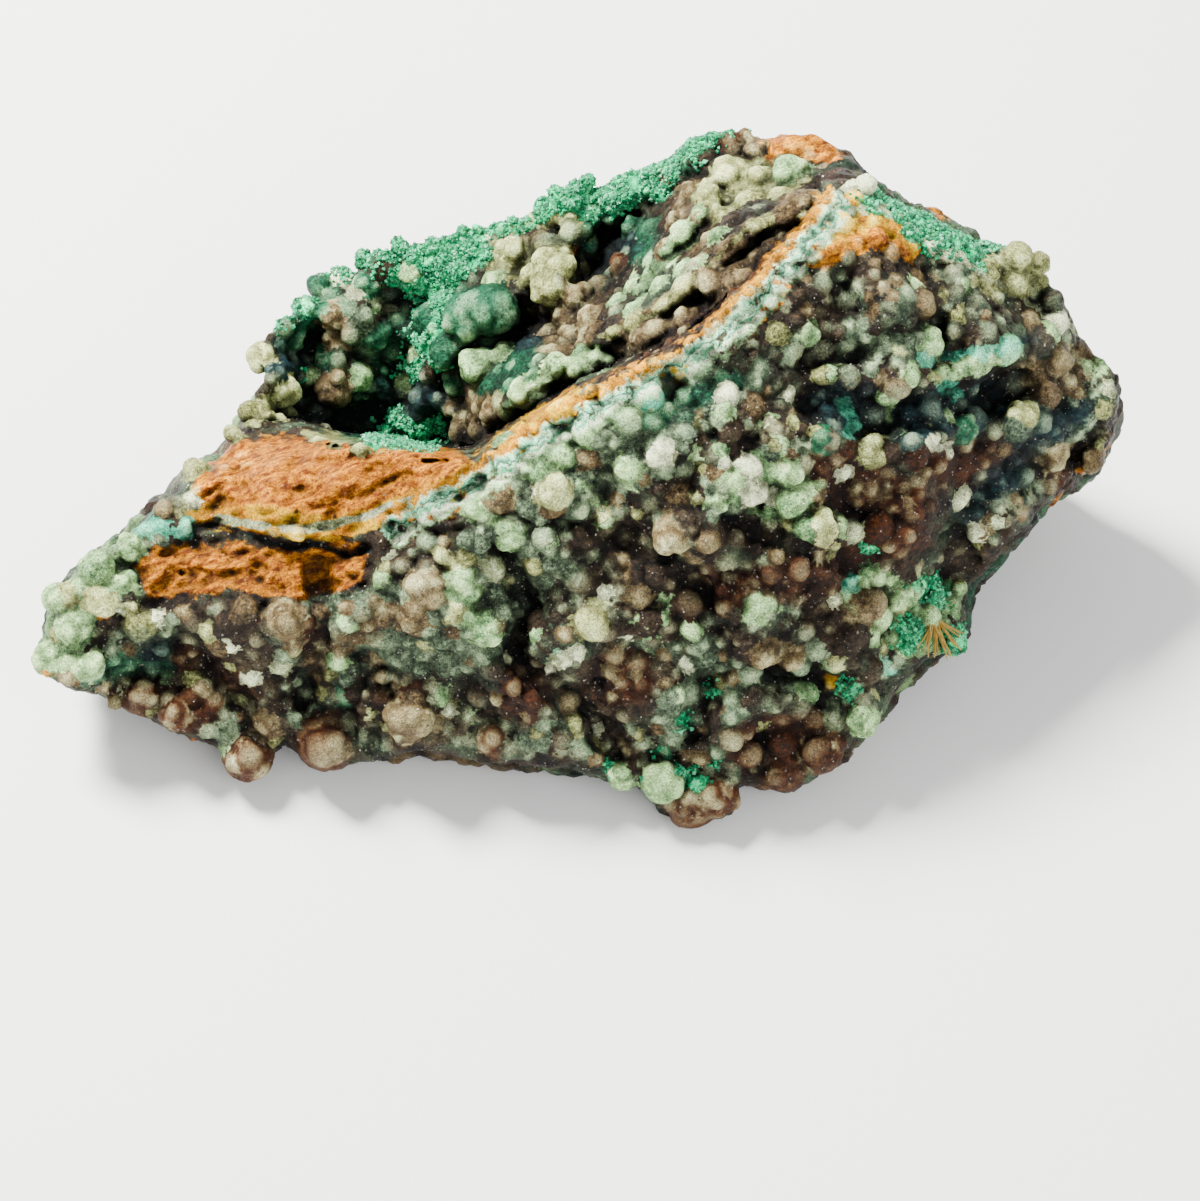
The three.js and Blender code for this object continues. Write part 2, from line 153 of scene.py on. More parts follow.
# Long dents in the outer surface: their routes, half widths and depths
FISSURE = [
    (-38.5, 6.5), (-35, 7), (-33, 6.5), (-31, 5.7), (-28.5, 4.8), (-26, 5.3), (-23, 4), (-19, 5.2),
]
DENTS = [
    (FISSURE, 0.3, 0.7),
    ([(20, 18), (26, 17), (32, 18), (38, 19.5)], 2.2, 2.6),
    ([(-26, 3), (-25, -3), (-27, -9)], 1.2, 1.6),
    ([(-9, 4), (-7, 0), (-8, -5), (-3, -9), (1, -13)], 1.4, 1.8),
    ([(2, 6), (8, 3), (11, -4), (9, -12)], 1.3, 1.4),
    ([(12, 7), (20, 4.5), (28, 4), (33, 6)], 1.2, 1.3),
    ([(-20, -8), (-20.5, -13)], 1.2, 1.6),
    ([(-38, -4), (-33, -9)], 1.3, 1.2),
    ([(19, 22), (24, 23), (28, 26)], 1.0, 1.0),
    ([(7, 20), (10, 15), (7, 10)], 1.0, 1.1),
]

# The crest, from which its thin veins are measured
CREST = [
    (-20, 6.4), (-16, 9.2), (-12, 11.1), (-9, 13), (-5, 15.6), (0, 18.4), (5, 20.8), (9, 23.2),
    (12, 25.8), (15, 28.8), (17, 31.2), (19.5, 34.2), (22, 37.2),
]

# Where each mineral colours the stone: routes of (across, up), with the reach on both sides
ZONES = {
    "grey": [
        ([(-26, -3), (-14, -3), (-9, 3)], 5.0), ([(-9, 7), (2, 12), (9, 19)], 3.6),
        ([(22, 22), (30, 24)], 1.8), ([(40, 17), (44, 22)], 3.0), ([(-46, -7), (-40, -4)], 2.6),
        ([(12, 10), (18, 12)], 3.0), ([(18, -6)], 3.0), ([(10, -6), (6, -12)], 2.4), ([(-6, -12)], 2.4),
        ([(-30, 28), (-23, 26)], 2.4), ([(-34, -12)], 2.0),
    ],
    "rust": [
        ([(22, 11), (27, 8.5)], 3.4), ([(31, 13), (35, 12)], 2.4), ([(28, 6), (23, 4)], 2.2),
        ([(-43, -8.6), (-37, -9.8)], 2.2), ([(-25, -13)], 2.6), ([(-18, -9)], 2.4),
        ([(20, -13), (14, -13)], 2.6), ([(2, -7)], 3.0), ([(-7, -9)], 2.6),
        ([(-38, -5.5), (-33, -8)], 1.8), ([(21, 39.2)], 0.9), ([(10, 1), (20, 2)], 2.2),
        ([(42, 11)], 1.2), ([(-30, -1), (-26, -4)], 1.8), ([(8, -18.5)], 2.4),
        ([(7.5, 33), (8, 38)], 1.6), ([(12, 43)], 2.2), ([(16, 31), (9, 26.3), (4, 23.6)], 1.5),
    ],
    "tan": [
        ([(-3, 22.5), (-2, 27.5)], 2.6), ([(-12, 17), (-9, 17)], 2.6), ([(9, 33), (7.5, 39)], 2.0),
        ([(-37, 12)], 1.5), ([(3, 24.3), (9, 28.2), (14, 33), (18.5, 35.8)], 2.2), ([(24.5, -0.5)], 2.2),
        ([(-17, -11)], 2.4), ([(40, 20), (44, 22)], 2.2), ([(-24.5, 19)], 1.8), ([(9, -19)], 2.4),
        ([(-9.5, 9.6)], 1.5), ([(-24.5, 25)], 1.8), ([(-20, -1), (-26, -6)], 1.6), ([(14, 41.5)], 1.8),
    ],
    "mint": [
        ([(-50.5, -4.5), (-47.5, 0.5), (-44.5, 4)], 2.9), ([(-12, 8.5), (-9.5, 11.5), (-3, 14.5)], 1.8),
        ([(-33, -14.5)], 1.6), ([(13.5, 11.3), (18.5, 8.5)], 2.6), ([(24.5, 1), (31, 0)], 2.4),
        ([(27, -3.5), (31, -4)], 1.8), ([(-14, 1), (-11, -2)], 1.6), ([(44.5, 10.8), (36, 2)], 1.2),
        ([(31, 20.6), (38, 22.6)], 0.9), ([(-24, 29.5), (-19, 26.6)], 1.2), ([(26.3, 18.5)], 1.3),
        ([(26, -11), (33, -5), (37, 4), (44, 10)], 1.0), ([(-2, 15.5), (6, 19)], 1.3), ([(46, 22)], 1.6),
        ([(6, -17)], 1.6), ([(3, 26.5), (5, 30), (8, 33.6), (10, 36.5)], 1.6),
        ([(-8, 18.2), (-4, 20.8), (0, 21.8)], 1.6),
    ],
    "cream": [
        ([(-9, 31), (-4, 31)], 2.0), ([(-6, 35), (-2, 34.6)], 1.2),
        ([(10.5, 37), (13, 39.3), (17, 38.5)], 2.1), ([(-31, 17.5), (-29, 19)], 1.8),
        ([(36, 29.5), (40, 30.5)], 2.2), ([(-31, 22.5)], 1.5),
        ([(0, 24.4), (5, 26.2), (8, 29), (12, 32.6), (14, 34.7), (19, 35.7)], 0.5),
        ([(-38, 8.3), (-33.5, 15.4)], 0.9), ([(-27, 15.4), (-20, 14.1), (-13, 13.2)], 0.7),
        ([(-43, -1), (-40, -2)], 1.0),
    ],
    "teal": [
        ([(-15, 27), (-11, 25), (-9, 22)], 3.4), ([(-20, 21), (-17, 25)], 2.6),
        ([(-27, 21), (-26, 27)], 2.6), ([(0, 35), (3, 33)], 2.4), ([(-22, 16.5), (-15, 16)], 2.2),
        ([(4, 37.5), (7, 40)], 1.6), ([(5, 17), (12, 20)], 1.3), ([(-47, -6), (-40, -6)], 1.2),
    ],
    "limonite": [
        ([(-34, 11.2), (-29, 11.5), (-23, 10.8), (-15, 10.8)], 3.5),
        ([(-40.5, 2.6), (-34, 3.2), (-28, 2.2), (-24, 3.2)], 2.4), ([(-51.8, -7.2)], 1.5),
        ([(-45.5, 0.1)], 1.5), ([(20.5, 32.5), (23.5, 34.8), (28.5, 33.4)], 2.2),
        ([(16, 42), (22.3, 41.7)], 1.7), ([(-29, -2)], 1.2), ([(44.7, 13)], 1.2), ([(25, 14)], 1.0),
        ([(-2.5, 32.3)], 0.6), ([(14.5, 26.5), (16.5, 29)], 0.8),
    ],
    "ochre": [
        ([(-37, 7.8), (-30, 7.3), (-25.5, 6.4), (-20, 7.7), (-15, 9.6), (-12, 11.2)], 1.2),
        ([(-9, 14.2), (-5, 16.8), (-2, 18.4)], 1.1), ([(20.8, 34), (24.2, 36), (28.2, 34.2)], 1.9),
        ([(21.3, -7.3)], 0.8), ([(4, 19.6), (8, 21.6)], 0.6),
    ],
    "emerald": [
        ([(-26, 30.8), (-20, 32.4), (-12, 34), (-5, 37), (2, 39.2), (8, 41.6), (12.2, 44.6)], 1.7),
        ([(-17, 30), (-12.5, 32.5)], 2.4), ([(-2.5, 37), (5, 39)], 2.2), ([(-15, 30), (-15.6, 24)], 1.5),
        ([(-20, 15.2), (-15.5, 15.4)], 1.5), ([(25.3, 37), (34, 34.2), (39.5, 32.6)], 1.6),
        ([(28.5, 34.2), (35, 31.3)], 1.0), ([(5.5, -15.3), (8, -16.8)], 1.5), ([(10.5, -15)], 0.8),
        ([(8, -11)], 0.9), ([(10.5, -8)], 0.8), ([(1, -15)], 0.8), ([(30.5, 0.7)], 1.5),
        ([(28.5, -2.9)], 1.5), ([(32.8, -3.8)], 1.4), ([(22.9, -8.2)], 1.0), ([(-26.5, 20.5)], 1.0),
        ([(-23, 32)], 1.4), ([(-18, 21), (-17, 23)], 1.3), ([(-30, 26), (-27.5, 28)], 1.2),
        ([(-46, 3)], 1.0), ([(24.5, 5)], 0.7),
    ],
    # slate_and_shadow: a near-black slate colour, painted as shadow along the fissure, in the deep dents
    # and in the deep corners of the hollow
    "slate_and_shadow": [
        (FISSURE, 0.2), ([(21, 18), (28, 16.6), (36, 18.4)], 2.4),
        ([(-28, 22), (-26, 18.5), (-21, 17.5)], 2.2), ([(39, 14.5), (44, 17)], 1.4),
        ([(34, 8.5), (38, 12)], 1.6), ([(36.5, 23.5), (40, 23.9)], 0.5), ([(22, 37)], 0.6),
        ([(-21.5, 18.5), (-15, 18)], 2.0), ([(-41, -5)], 1.2), ([(-7, 24)], 1.3),
        ([(0, 31), (2, 33)], 1.6), ([(-18.5, 27.6)], 0.9),
    ],
    "turquoise": [
        ([(-44, 6.2), (-41, 7.2)], 1.4), ([(-38, 6.6)], 1.0), ([(22, 17.5)], 1.1), ([(23, 15.5)], 0.9),
        ([(32, 19.5)], 1.1), ([(26.2, -6)], 0.8), ([(23, 1.5)], 0.9), ([(30, 22.2), (38, 23.4)], 0.7),
        ([(17.5, 39.2)], 1.1), ([(-4, -5.5)], 0.8), ([(-0.7, 32.5)], 0.9), ([(-12, 21.8)], 1.2),
        ([(2, 18), (6, 19.6)], 0.7),
    ],
    "white": [
        ([(22.7, 37.8), (25.5, 37.6)], 0.7),
        ([(-35, 7.5), (-30, 6.7), (-27, 6.4), (-22, 7.6), (-18, 9), (-14, 10.4)], 0.4),
        ([(24, 37.3), (28, 34.3), (31, 32.2), (36, 29.6), (41, 26.2), (45, 23.8)], 0.4),
        ([(-34, -4.3)], 0.8), ([(-32, -7)], 0.8), ([(-29, -6.5)], 0.7), ([(5.5, 13.5)], 1.2),
        ([(30, 14.3), (32, 14)], 0.6), ([(-5, -6.5), (-2, -4.3)], 0.6), ([(-24, 29.6), (-19, 26.7)], 0.6),
        ([(15.5, 7.3)], 0.8),
    ],
}
MINERALS = list(ZONES)

# How strong the noise has to be for a mineral to show on the hidden sides
PATCH_THRESHOLDS = {
    "grey": 0.05, "emerald": 0.75, "limonite": 0.45, "rust": 0.15, "mint": 0.2, "tan": 0.15,
    "teal": 0.3,
}

# Lumps that can be told apart in the photograph: (across, up, radius) by mineral
NAMED_LUMPS = {
    "mint": [
        (-48.5, -2.5, 1.8), (-51, -5.3, 1.5), (-46, 3, 1.7), (-47, -6, 1.7), (-49.8, 0.2, 1.4),
        (-43.5, 1.6, 1.5), (-43, 4.6, 1.3), (-26.5, 20.5, 1.2), (-22, 20.3, 1.5), (-17.5, 30, 1.2),
        (-17, 22.5, 1.2), (-18, 20, 1.1), (-11.5, 21.7, 1.8), (-9, 22.5, 1.5), (-6.7, 27.2, 1.0),
        (-9.5, 29.5, 1.2), (-0.7, 32.5, 1.1), (1.5, 27.5, 1.0), (3, 29, 1.0), (3, 26.8, 1.0),
        (-9, 14.8, 1.2), (7.5, 30.5, 1.0), (9, 31, 0.9), (11, 33.5, 1.3), (-7, 19, 1.6), (-4, 21.3, 1.3),
        (-1.7, 21, 1.3), (-5.6, 19.2, 1.2), (17.5, 39, 2.2), (19.2, 24.3, 1.3), (29, 29, 1.1),
        (33, 29, 1.0), (30, 23.5, 1.8), (28.5, 20.7, 1.2), (21, 21, 1.0), (22.8, 20.8, 0.9),
        (26.3, 18.8, 1.4), (26.3, 17.4, 1.2), (27.5, 15.7, 0.8), (31, 17, 1.5), (41, 24.5, 1.2),
        (31.5, 20.7, 0.7), (32.9, 21.2, 0.7), (34.3, 21.7, 0.7), (35.7, 22.1, 0.7), (37, 22.5, 0.7),
        (27, 0, 1.5), (28.3, 0.3, 1.2), (25.5, 2, 1.0), (25, -3, 1.1), (33, 1.2, 0.8), (21.5, -6, 1.0),
        (24, -11, 1.6), (-2, 10.5, 0.9), (-1.2, 9.8, 0.9), (-0.5, 9, 0.9), (0.1, 8.2, 0.9),
        (0.5, 7.3, 0.9), (-8.3, 6, 1.8), (-5, 5.5, 1.2), (-11, 8.5, 1.5), (2.5, 12, 1.8), (11, 13.6, 1.4),
        (9, 13.3, 1.0), (11, 11.3, 1.1), (10.7, 9, 1.2), (17.5, 11.6, 1.4), (17.7, 8.8, 1.7),
        (15.5, 16.3, 0.8), (16.1, 15.5, 0.8), (16.5, 14.7, 0.8), (16.7, 13.9, 0.8), (11.5, 17, 1.2),
        (-9, 2.3, 0.7), (4, -2, 1.3), (6.5, 0, 1.2), (5.8, -1.6, 1.3), (4.8, -3.4, 1.4), (8.2, -2.5, 1.0),
        (-12.5, 1.8, 2.0), (-16.5, 0.3, 0.7), (-10, -3, 1.5), (-20, 2, 0.8), (-23.3, -2.1, 1.1),
        (-14.5, -8.7, 1.3), (-12, -10.3, 1.1), (7, -8.8, 1.1), (6, -16.5, 2.0), (2, -16.1, 1.4),
        (-24, -5.7, 1.0), (18.5, -8.8, 1.8), (22, 7, 1.1), (-8.5, 11.4, 1.0), (-9.9, 11.6, 0.9),
        (14.7, -0.8, 1.9), (-5.7, -3, 1.3),
    ],
    "cream": [
        (-33.5, 15.5, 1.0), (-29, 19, 1.7), (-31, 17, 1.4), (-29.3, 16.5, 0.9), (-31, 22.5, 1.5),
        (-8.2, 31.7, 1.7), (-5, 28.5, 2.0), (-5.2, 31.2, 1.4), (-3.3, 30.7, 1.4), (-1.5, 30.3, 1.2),
        (-6.6, 30.2, 1.1), (-4.3, 35, 1.2), (-2.7, 35, 0.8), (-6, 35, 0.9), (-1.7, 34, 0.9),
        (-7.2, 34.2, 0.7), (12, 39, 2.0), (14.5, 38.3, 1.7), (10, 37, 1.3), (11, 35.3, 1.2),
        (13.2, 36.9, 1.1), (16.3, 37.3, 1.1), (38.4, 31.3, 1.5), (40.2, 30.6, 1.3), (35.8, 30.4, 1.2),
        (-4.3, 10, 2.0), (20.3, 7, 1.8), (25, 14, 1.8), (38.5, 17.3, 1.7), (-2.3, -11.3, 1.6),
        (-24, 14.6, 0.7), (-22, 14, 0.7), (-19, 13.9, 0.7), (-16, 13.6, 0.7), (-13, 13.6, 0.7),
        (-26, 14.9, 0.6), (-37, 12, 1.3), (-48.5, 0.5, 1.2), (-45.5, 0, 1.7), (-0.5, -1.8, 2.2),
        (-13, -1, 1.6),
    ],
    "white": [
        (14, 10.3, 1.9), (13.7, 12, 1.6), (15.7, 9.7, 1.4), (12.6, 10.6, 1.1), (2.8, -3.1, 1.0),
        (-5.5, 10, 0.7), (-34, -4.3, 0.8), (-32, -7, 0.8), (-29, -6.5, 0.7), (0, -2, 0.8), (-2, 0, 0.7),
        (30, 14.3, 0.6), (-41, -1.8, 1.1), (24.4, 38.2, 1.0), (22.9, 38.3, 0.8), (5.5, 13.5, 1.5),
    ],
    "teal": [
        (-12.5, 25.5, 2.4), (-9.5, 26.5, 2.4), (-14, 22.6, 1.8), (-13.2, 20, 1.5), (-16, 26, 1.6),
        (-10, 24, 1.8), (-28, 23.5, 1.2), (-20.5, 24, 1.3), (-19, 22.5, 1.2), (-22, 18.8, 1.2),
        (-25.5, 22.4, 1.3), (1, 35, 1.4), (3, 34.3, 1.3), (-23.5, -8.8, 1.1), (20.5, 14.5, 1.4),
        (33.5, 15.5, 1.4), (-21.5, 29, 1.4), (-25.5, 29, 1.3),
    ],
    "tan": [
        (-24.5, 19, 1.8), (-24.5, 24, 1.5), (-24.6, 26, 1.4), (-2, 28, 1.6), (-1, 26, 1.4),
        (-3.5, 26, 1.2), (-3, 24, 1.4), (-1.5, 23.3, 1.2), (-4.6, 22.9, 1.1), (-4.8, 24.7, 1.1),
        (18.5, 36.5, 1.8), (12.3, 41.5, 0.9), (14.3, 41.3, 1.4), (-10, 17.3, 1.3), (-8.5, 17, 1.0),
        (-12.5, 15.5, 1.8), (-13.6, 17.6, 1.2), (6, 32.5, 1.2), (7, 35, 1.3), (8.2, 37.5, 1.3),
        (6.5, 38.7, 1.1), (9.2, 35.2, 1.1), (7.7, 33.4, 1.0), (2, 23, 1.3), (3.5, 23.8, 1.2),
        (-9, 9.5, 1.8), (-0.8, 13, 1.6), (19.5, 9.5, 1.3), (6.5, 6, 2.0), (24.5, -0.5, 2.2),
        (41.5, 13.5, 2.0), (14.8, -4.8, 1.8), (17.5, -5.2, 1.6), (41.8, 22, 2.0), (44.7, 13, 1.4),
        (-17, -1.5, 2.0), (-28, -4, 1.2), (-29, -1.8, 2.0), (-30.5, -11.5, 1.8), (-17.5, -11, 2.3),
        (-20.5, -5.5, 0.8), (-20, -7, 0.8), (12, -10.2, 0.7), (-36.5, -8, 1.3), (-35, -9, 1.1),
        (-40, 8.4, 1.0), (-16, 1.5, 2.3),
    ],
    "rust": [
        (-25, -13, 2.8), (8.5, -18.5, 2.4), (10.8, -18, 1.9), (2, 31, 1.4), (-42, -8.8, 1.8),
        (16.5, -15.8, 2.0), (20, -14, 2.0), (-10, -12.6, 1.8), (-39, -10.3, 1.6), (-32.5, -14.3, 2.4),
    ],
    "emerald": [
        (30.5, 0.7, 1.4), (28.5, -2.8, 1.5), (32.6, -3.8, 1.1), (22.9, -8.2, 1.1), (-17, 29, 1.2),
        (-14, 31.5, 1.4),
    ],
}

# The radius from which a lump carries smaller ones, and how many for each millimetre of it
SATELLITES_FROM = 1.1
SATELLITE_RATE = 5
# How much flatter lumps are along the way they face, and how far around one its colour goes
LUMP_SQUASH = 0.6
OWNED_REACH = 0.3
# How close strewn lumps may stand, as a share of their radii together
LUMP_SPACING = 0.78
# The share of the strewn lumps with a mineral of their own; each takes it from the ones before
STRAY_TONES = {"tan": 0.22, "cream": 0.08, "white": 0.03}
# How much the pale minerals draw back from the ground between the lumps
GROUND_PALENESS = {"grey": 0.7, "mint": 0.6, "cream": 0.4, "tan": 0.3}

# How many lumps are strewn, and how many pits, crystals and grains there are
FRONT_LUMPS = 1100
HOLLOW_LUMPS = 420
EDGE_LUMPS = 420
HIDDEN_LUMPS = 2600
PIT_COUNT = 520
DRUSE_COUNT = 5000
RIM_MOSS_COUNT = 9000
HOLLOW_MOSS_COUNT = 5000

# The height above the table from which crystals and grains grow
CLEAR_OF_TABLE = 1.0
# How far around a place its openness is judged: close by, and farther off
NEAR_REACH = 0.7
FAR_REACH = 3.2


def smooth_step(values):
    """0 up to 0, 1 from 1 on, and a smooth rise between."""
    share = np.clip(values, 0, 1)
    return share * share * (3 - 2 * share)


def rounded_max(first, second, rounding):
    """The larger of two distances, with the edge between them rounded."""
    near = np.maximum(rounding - np.abs(first - second), 0) / rounding
    return np.maximum(first, second) + near * near * rounding * 0.25


def place_of(across, up, toward):
    """The real places, in millimetres, of points that are given as they are seen."""
    spread = (VIEW_DISTANCE - toward) / VIEW_DISTANCE
    return (
        VIEW_CENTRE
        + (across * spread)[..., None] * AXIS_ACROSS
        + (up * spread)[..., None] * AXIS_UP
        + toward[..., None] * AXIS_TOWARD
    )


def sight_of(places):
    """Across, up and toward of real places in millimetres."""
    offset = places - VIEW_CENTRE
    toward = offset @ AXIS_TOWARD
    spread = (VIEW_DISTANCE - toward) / VIEW_DISTANCE
    return offset @ AXIS_ACROSS / spread, offset @ AXIS_UP / spread, toward


def cloud(places, cell, seed):
    """Smooth noise from -1 to 1; the last axis of places holds the coordinates."""
    size = 64
    dimensions = places.shape[-1]
    lattice = np.random.default_rng(seed).uniform(-1, 1, (size,) * dimensions).astype(np.float32)
    scaled = places / cell
    base = np.floor(scaled).astype(int)
    share = smooth_step(scaled - base)
    total = 0
    for corner in itertools.product((0, 1), repeat=dimensions):
        index = tuple(((base[..., axis] + corner[axis]) % size) for axis in range(dimensions))
        weight = 1
        for axis, far in enumerate(corner):
            weight = weight * (share[..., axis] if far else 1 - share[..., axis])
        total = total + lattice[index] * weight
    return total


def domes(places, cell, seed):
    """Packed domes, from 0 in the creases to 1 on the tops."""
    size = 64
    dimensions = places.shape[-1]
    jitter = np.random.default_rng(seed).uniform(0.1, 0.9, (size,) * dimensions + (dimensions,))
    scaled = places / cell
    base = np.floor(scaled).astype(int)
    nearest = np.full(places.shape[:-1], 9.0)
    for shift in itertools.product((-1, 0, 1), repeat=dimensions):
        neighbour = base + np.array(shift)
        middle = neighbour + jitter[tuple(neighbour[..., axis] % size for axis in range(dimensions))]
        nearest = np.minimum(nearest, ((scaled - middle) ** 2).sum(-1))
    return np.sqrt(np.clip(1 - nearest / 0.8, 0, 1))


def route_distance(across, up, route):
    """Distance to a route of straight stretches, the share along it, and the side: 1 on its left."""
    if len(route) == 1:
        distance = np.hypot(across - route[0][0], up - route[0][1])
        return distance, np.zeros(across.shape), np.ones(across.shape)
    nearest = np.full(across.shape, np.inf)
    along = np.zeros(across.shape)
    side = np.ones(across.shape)
    for number, (start, end) in enumerate(zip(route[:-1], route[1:])):
        run = (end[0] - start[0], end[1] - start[1])
        from_start = (across - start[0], up - start[1])
        share = (from_start[0] * run[0] + from_start[1] * run[1]) / (run[0] ** 2 + run[1] ** 2)
        share = np.clip(share, 0, 1)
        distance = np.hypot(from_start[0] - share * run[0], from_start[1] - share * run[1])
        closer = distance < nearest
        along = np.where(closer, number + share, along)
        side = np.where(closer, np.sign(run[0] * from_start[1] - run[1] * from_start[0]), side)
        nearest = np.minimum(nearest, distance)
    return nearest, along, side


def edge_distance(across, up, polygon):
    """Distance to a closed outline: below zero inside it."""
    distance = route_distance(across, up, list(polygon) + [polygon[0]])[0]
    inside = np.zeros(across.shape, bool)
    for start, end in zip(polygon, polygon[1:] + polygon[:1]):
        if start[1] != end[1]:
            crossing = start[0] + (up - start[1]) * (end[0] - start[0]) / (end[1] - start[1])
            inside ^= ((start[1] > up) != (end[1] > up)) & (across < crossing)
    return np.where(inside, -distance, distance)


def sounded(across, up, soundings, reach):
    """A smooth surface through soundings of (across, up, toward)."""
    total = np.zeros(across.shape)
    weights = np.zeros(across.shape)
    for x, y, toward in soundings:
        weight = 1 / ((across - x) ** 2 + (up - y) ** 2 + reach**2) ** 2
        total += toward * weight
        weights += weight
    return total / weights


class Relief:
    """The surface that the viewer sees, as its distance toward the viewer over the facing plane."""

    def __init__(self, step):
        self.step = step
        low, high = STONE_SPACE
        self.across_axis = np.arange(low[0], high[0], step)
        self.up_axis = np.arange(low[1], high[1], step)
        across, up = np.meshgrid(self.across_axis, self.up_axis, indexing="ij")
        plane = np.stack([across, up], -1)
        warp = cloud(plane, 5.0, 1) * 0.8 + cloud(plane, 2.0, 2) * 0.4
        self.outline = edge_distance(across, up, OUTLINE) + warp * 0.4 + 0.5
        hollow_edge = HOLLOW_BACK + HOLLOW_CREST[1:-1]
        self.hollow = -edge_distance(across + warp * 0.5, up + warp * 0.4, hollow_edge)
        self.broken = self.broken_surface(plane)
        warped = plane + warp[..., None]
        self.mounds = domes(warped, 7.5, 3)
        outer = sounded(across, up, SOUNDINGS, SOUNDING_REACH) + self.outer_relief(warped)
        floor = sounded(across, up, FLOOR, FLOOR_REACH) + self.floor_relief(warped)
        height = outer + (floor - outer) * self.hollow_share(across, up, warp)
        for rim, half_width in LEDGES:
            height = np.maximum(height, self.ledge(across, up, plane, rim, half_width))
        for route, half_width, depth in DENTS:
            distance = route_distance(across + warp * 0.7, up - warp * 0.7, route)[0]
            height = height - depth * smooth_step(1.4 - distance / half_width)
        self.height = self.pitted(across, up, height)

    def hollow_share(self, across, up, warp):
        """0 outside the hollow and 1 on its floor; the step is steep below the crest."""
        behind = route_distance(across + warp, up + warp, HOLLOW_BACK)[0] / BACK_SLOPE
        before = route_distance(across + warp * 0.3, up, HOLLOW_CREST)[0] / CREST_SLOPE
        share = np.minimum(smooth_step(behind), smooth_step(before))
        return np.where(self.hollow > 0, share, 0)

    def outer_relief(self, plane):
        """Broad lumps, and grain with long grooves on the broken orange surface."""
        lumps = 2.6 * self.mounds + 1.5 * domes(plane, 3.7, 4)
        rough = 0.9 * cloud(plane, 4.0, 6) + 0.4 * cloud(plane, 1.6, 7)
        turn = math.radians(20)
        ridge_ways = np.array([[math.cos(turn), -math.sin(turn)], [math.sin(turn), math.cos(turn)]])
        turned = plane @ ridge_ways / np.array([3.0, 0.8])
        striations = 0.35 * cloud(turned, 1.0, 9) + 0.2 * cloud(turned, 0.5, 10)
        striations = striations + 0.2 * cloud(plane, 0.6, 8)
        return (lumps - 2.6) * (1 - self.broken) + rough * 0.6 + striations * self.broken * 1.3

    def floor_relief(self, plane):
        """The lumps of the hollow's floor."""
        lumps = 2.0 * domes(plane, 4.6, 11) + 1.0 * domes(plane, 2.2, 12)
        return lumps - 1.6 + 1.0 * cloud(plane, 3.0, 13) + 0.4 * cloud(plane, 1.0, 14)

    def broken_surface(self, plane):
        """1 on the broken orange surface at the left, 0 elsewhere."""
        across, up = plane[..., 0], plane[..., 1]
        upper = route_distance(across, up, ZONES["limonite"][0][0])[0]
        lower = route_distance(across, up, ZONES["limonite"][1][0])[0]
        return smooth_step((1.7 - np.minimum(upper / 3.6, lower / 2.5)) / 0.6)

    def ledge(self, across, up, plane, rim, half_width):
        """A thin scalloped ledge along a rim, with steep sides."""
        distance, along, _ = route_distance(across, up, [point[:2] for point in rim])
        toward = np.interp(along, np.arange(len(rim)), [point[2] for point in rim])
        scallops = 0.9 * domes(plane, 2.1, 15) + 0.35 * cloud(plane, 0.9, 16)
        return toward + scallops - LEDGE_STEEPNESS * np.maximum(distance - half_width, 0) - 0.5

    def pitted(self, across, up, height):
        """Small sharp pits in the broken orange surface."""
        random = np.random.default_rng(21)
        candidates = np.argwhere((self.broken > 0.8) & (self.outline < -1))
        for row, column in candidates[random.integers(0, len(candidates), PIT_COUNT)]:
            radius = random.uniform(0.2, 0.5)
            reach = int(radius / self.step) + 2
            rows = slice(max(row - reach, 0), row + reach + 1)
            columns = slice(max(column - reach, 0), column + reach + 1)
            rise = (up[rows, columns] - up[row, column]) * 1.7
            distance = np.hypot(across[rows, columns] - across[row, column], rise)
            height[rows, columns] -= 0.9 * radius * smooth_step(1.2 - distance / radius)
        return height

    def at(self, values, across, up):
        """Values of a map between its grid points."""
        rows = np.clip((across - self.across_axis[0]) / self.step, 0, len(self.across_axis) - 1.001)
        columns = np.clip((up - self.up_axis[0]) / self.step, 0, len(self.up_axis) - 1.001)
        row, column = rows.astype(int), columns.astype(int)
        s, t = rows - row, columns - column
        near = values[row, column] * (1 - t) + values[row, column + 1] * t
        far = values[row + 1, column] * (1 - t) + values[row + 1, column + 1] * t
        return near * (1 - s) + far * s

    def facing(self, across, up):
        """The way the surface faces at each place, in seen space."""
        reach = 0.8
        height = self.height
        rise_across = self.at(height, across + reach, up) - self.at(height, across - reach, up)
        rise_up = self.at(height, across, up + reach) - self.at(height, across, up - reach)
        slopes = np.clip(np.stack([rise_across, rise_up], -1) / (2 * reach), -1.5, 1.5)
        ways = np.concatenate([-slopes, np.ones((len(slopes), 1))], 1)
        return ways / np.linalg.norm(ways, axis=1)[:, None]


class Lumps:
    """Round lumps in seen space, each with the way it stands out, a tone and its minerals."""

    def __init__(self, middles, radii, ways, tones, minerals):
        self.middles = middles
        self.radii = radii
        self.ways = ways
        self.tones = tones
        self.minerals = minerals

    def __len__(self):
        return len(self.radii)

    def columns(self):
        return self.middles, self.radii, self.ways, self.tones, self.minerals

    def chosen(self, which):
        return Lumps(*(column[which] for column in self.columns()))

    def joined(self, other):
        pairs = zip(self.columns(), other.columns())
        return Lumps(*(np.concatenate(pair) for pair in pairs))


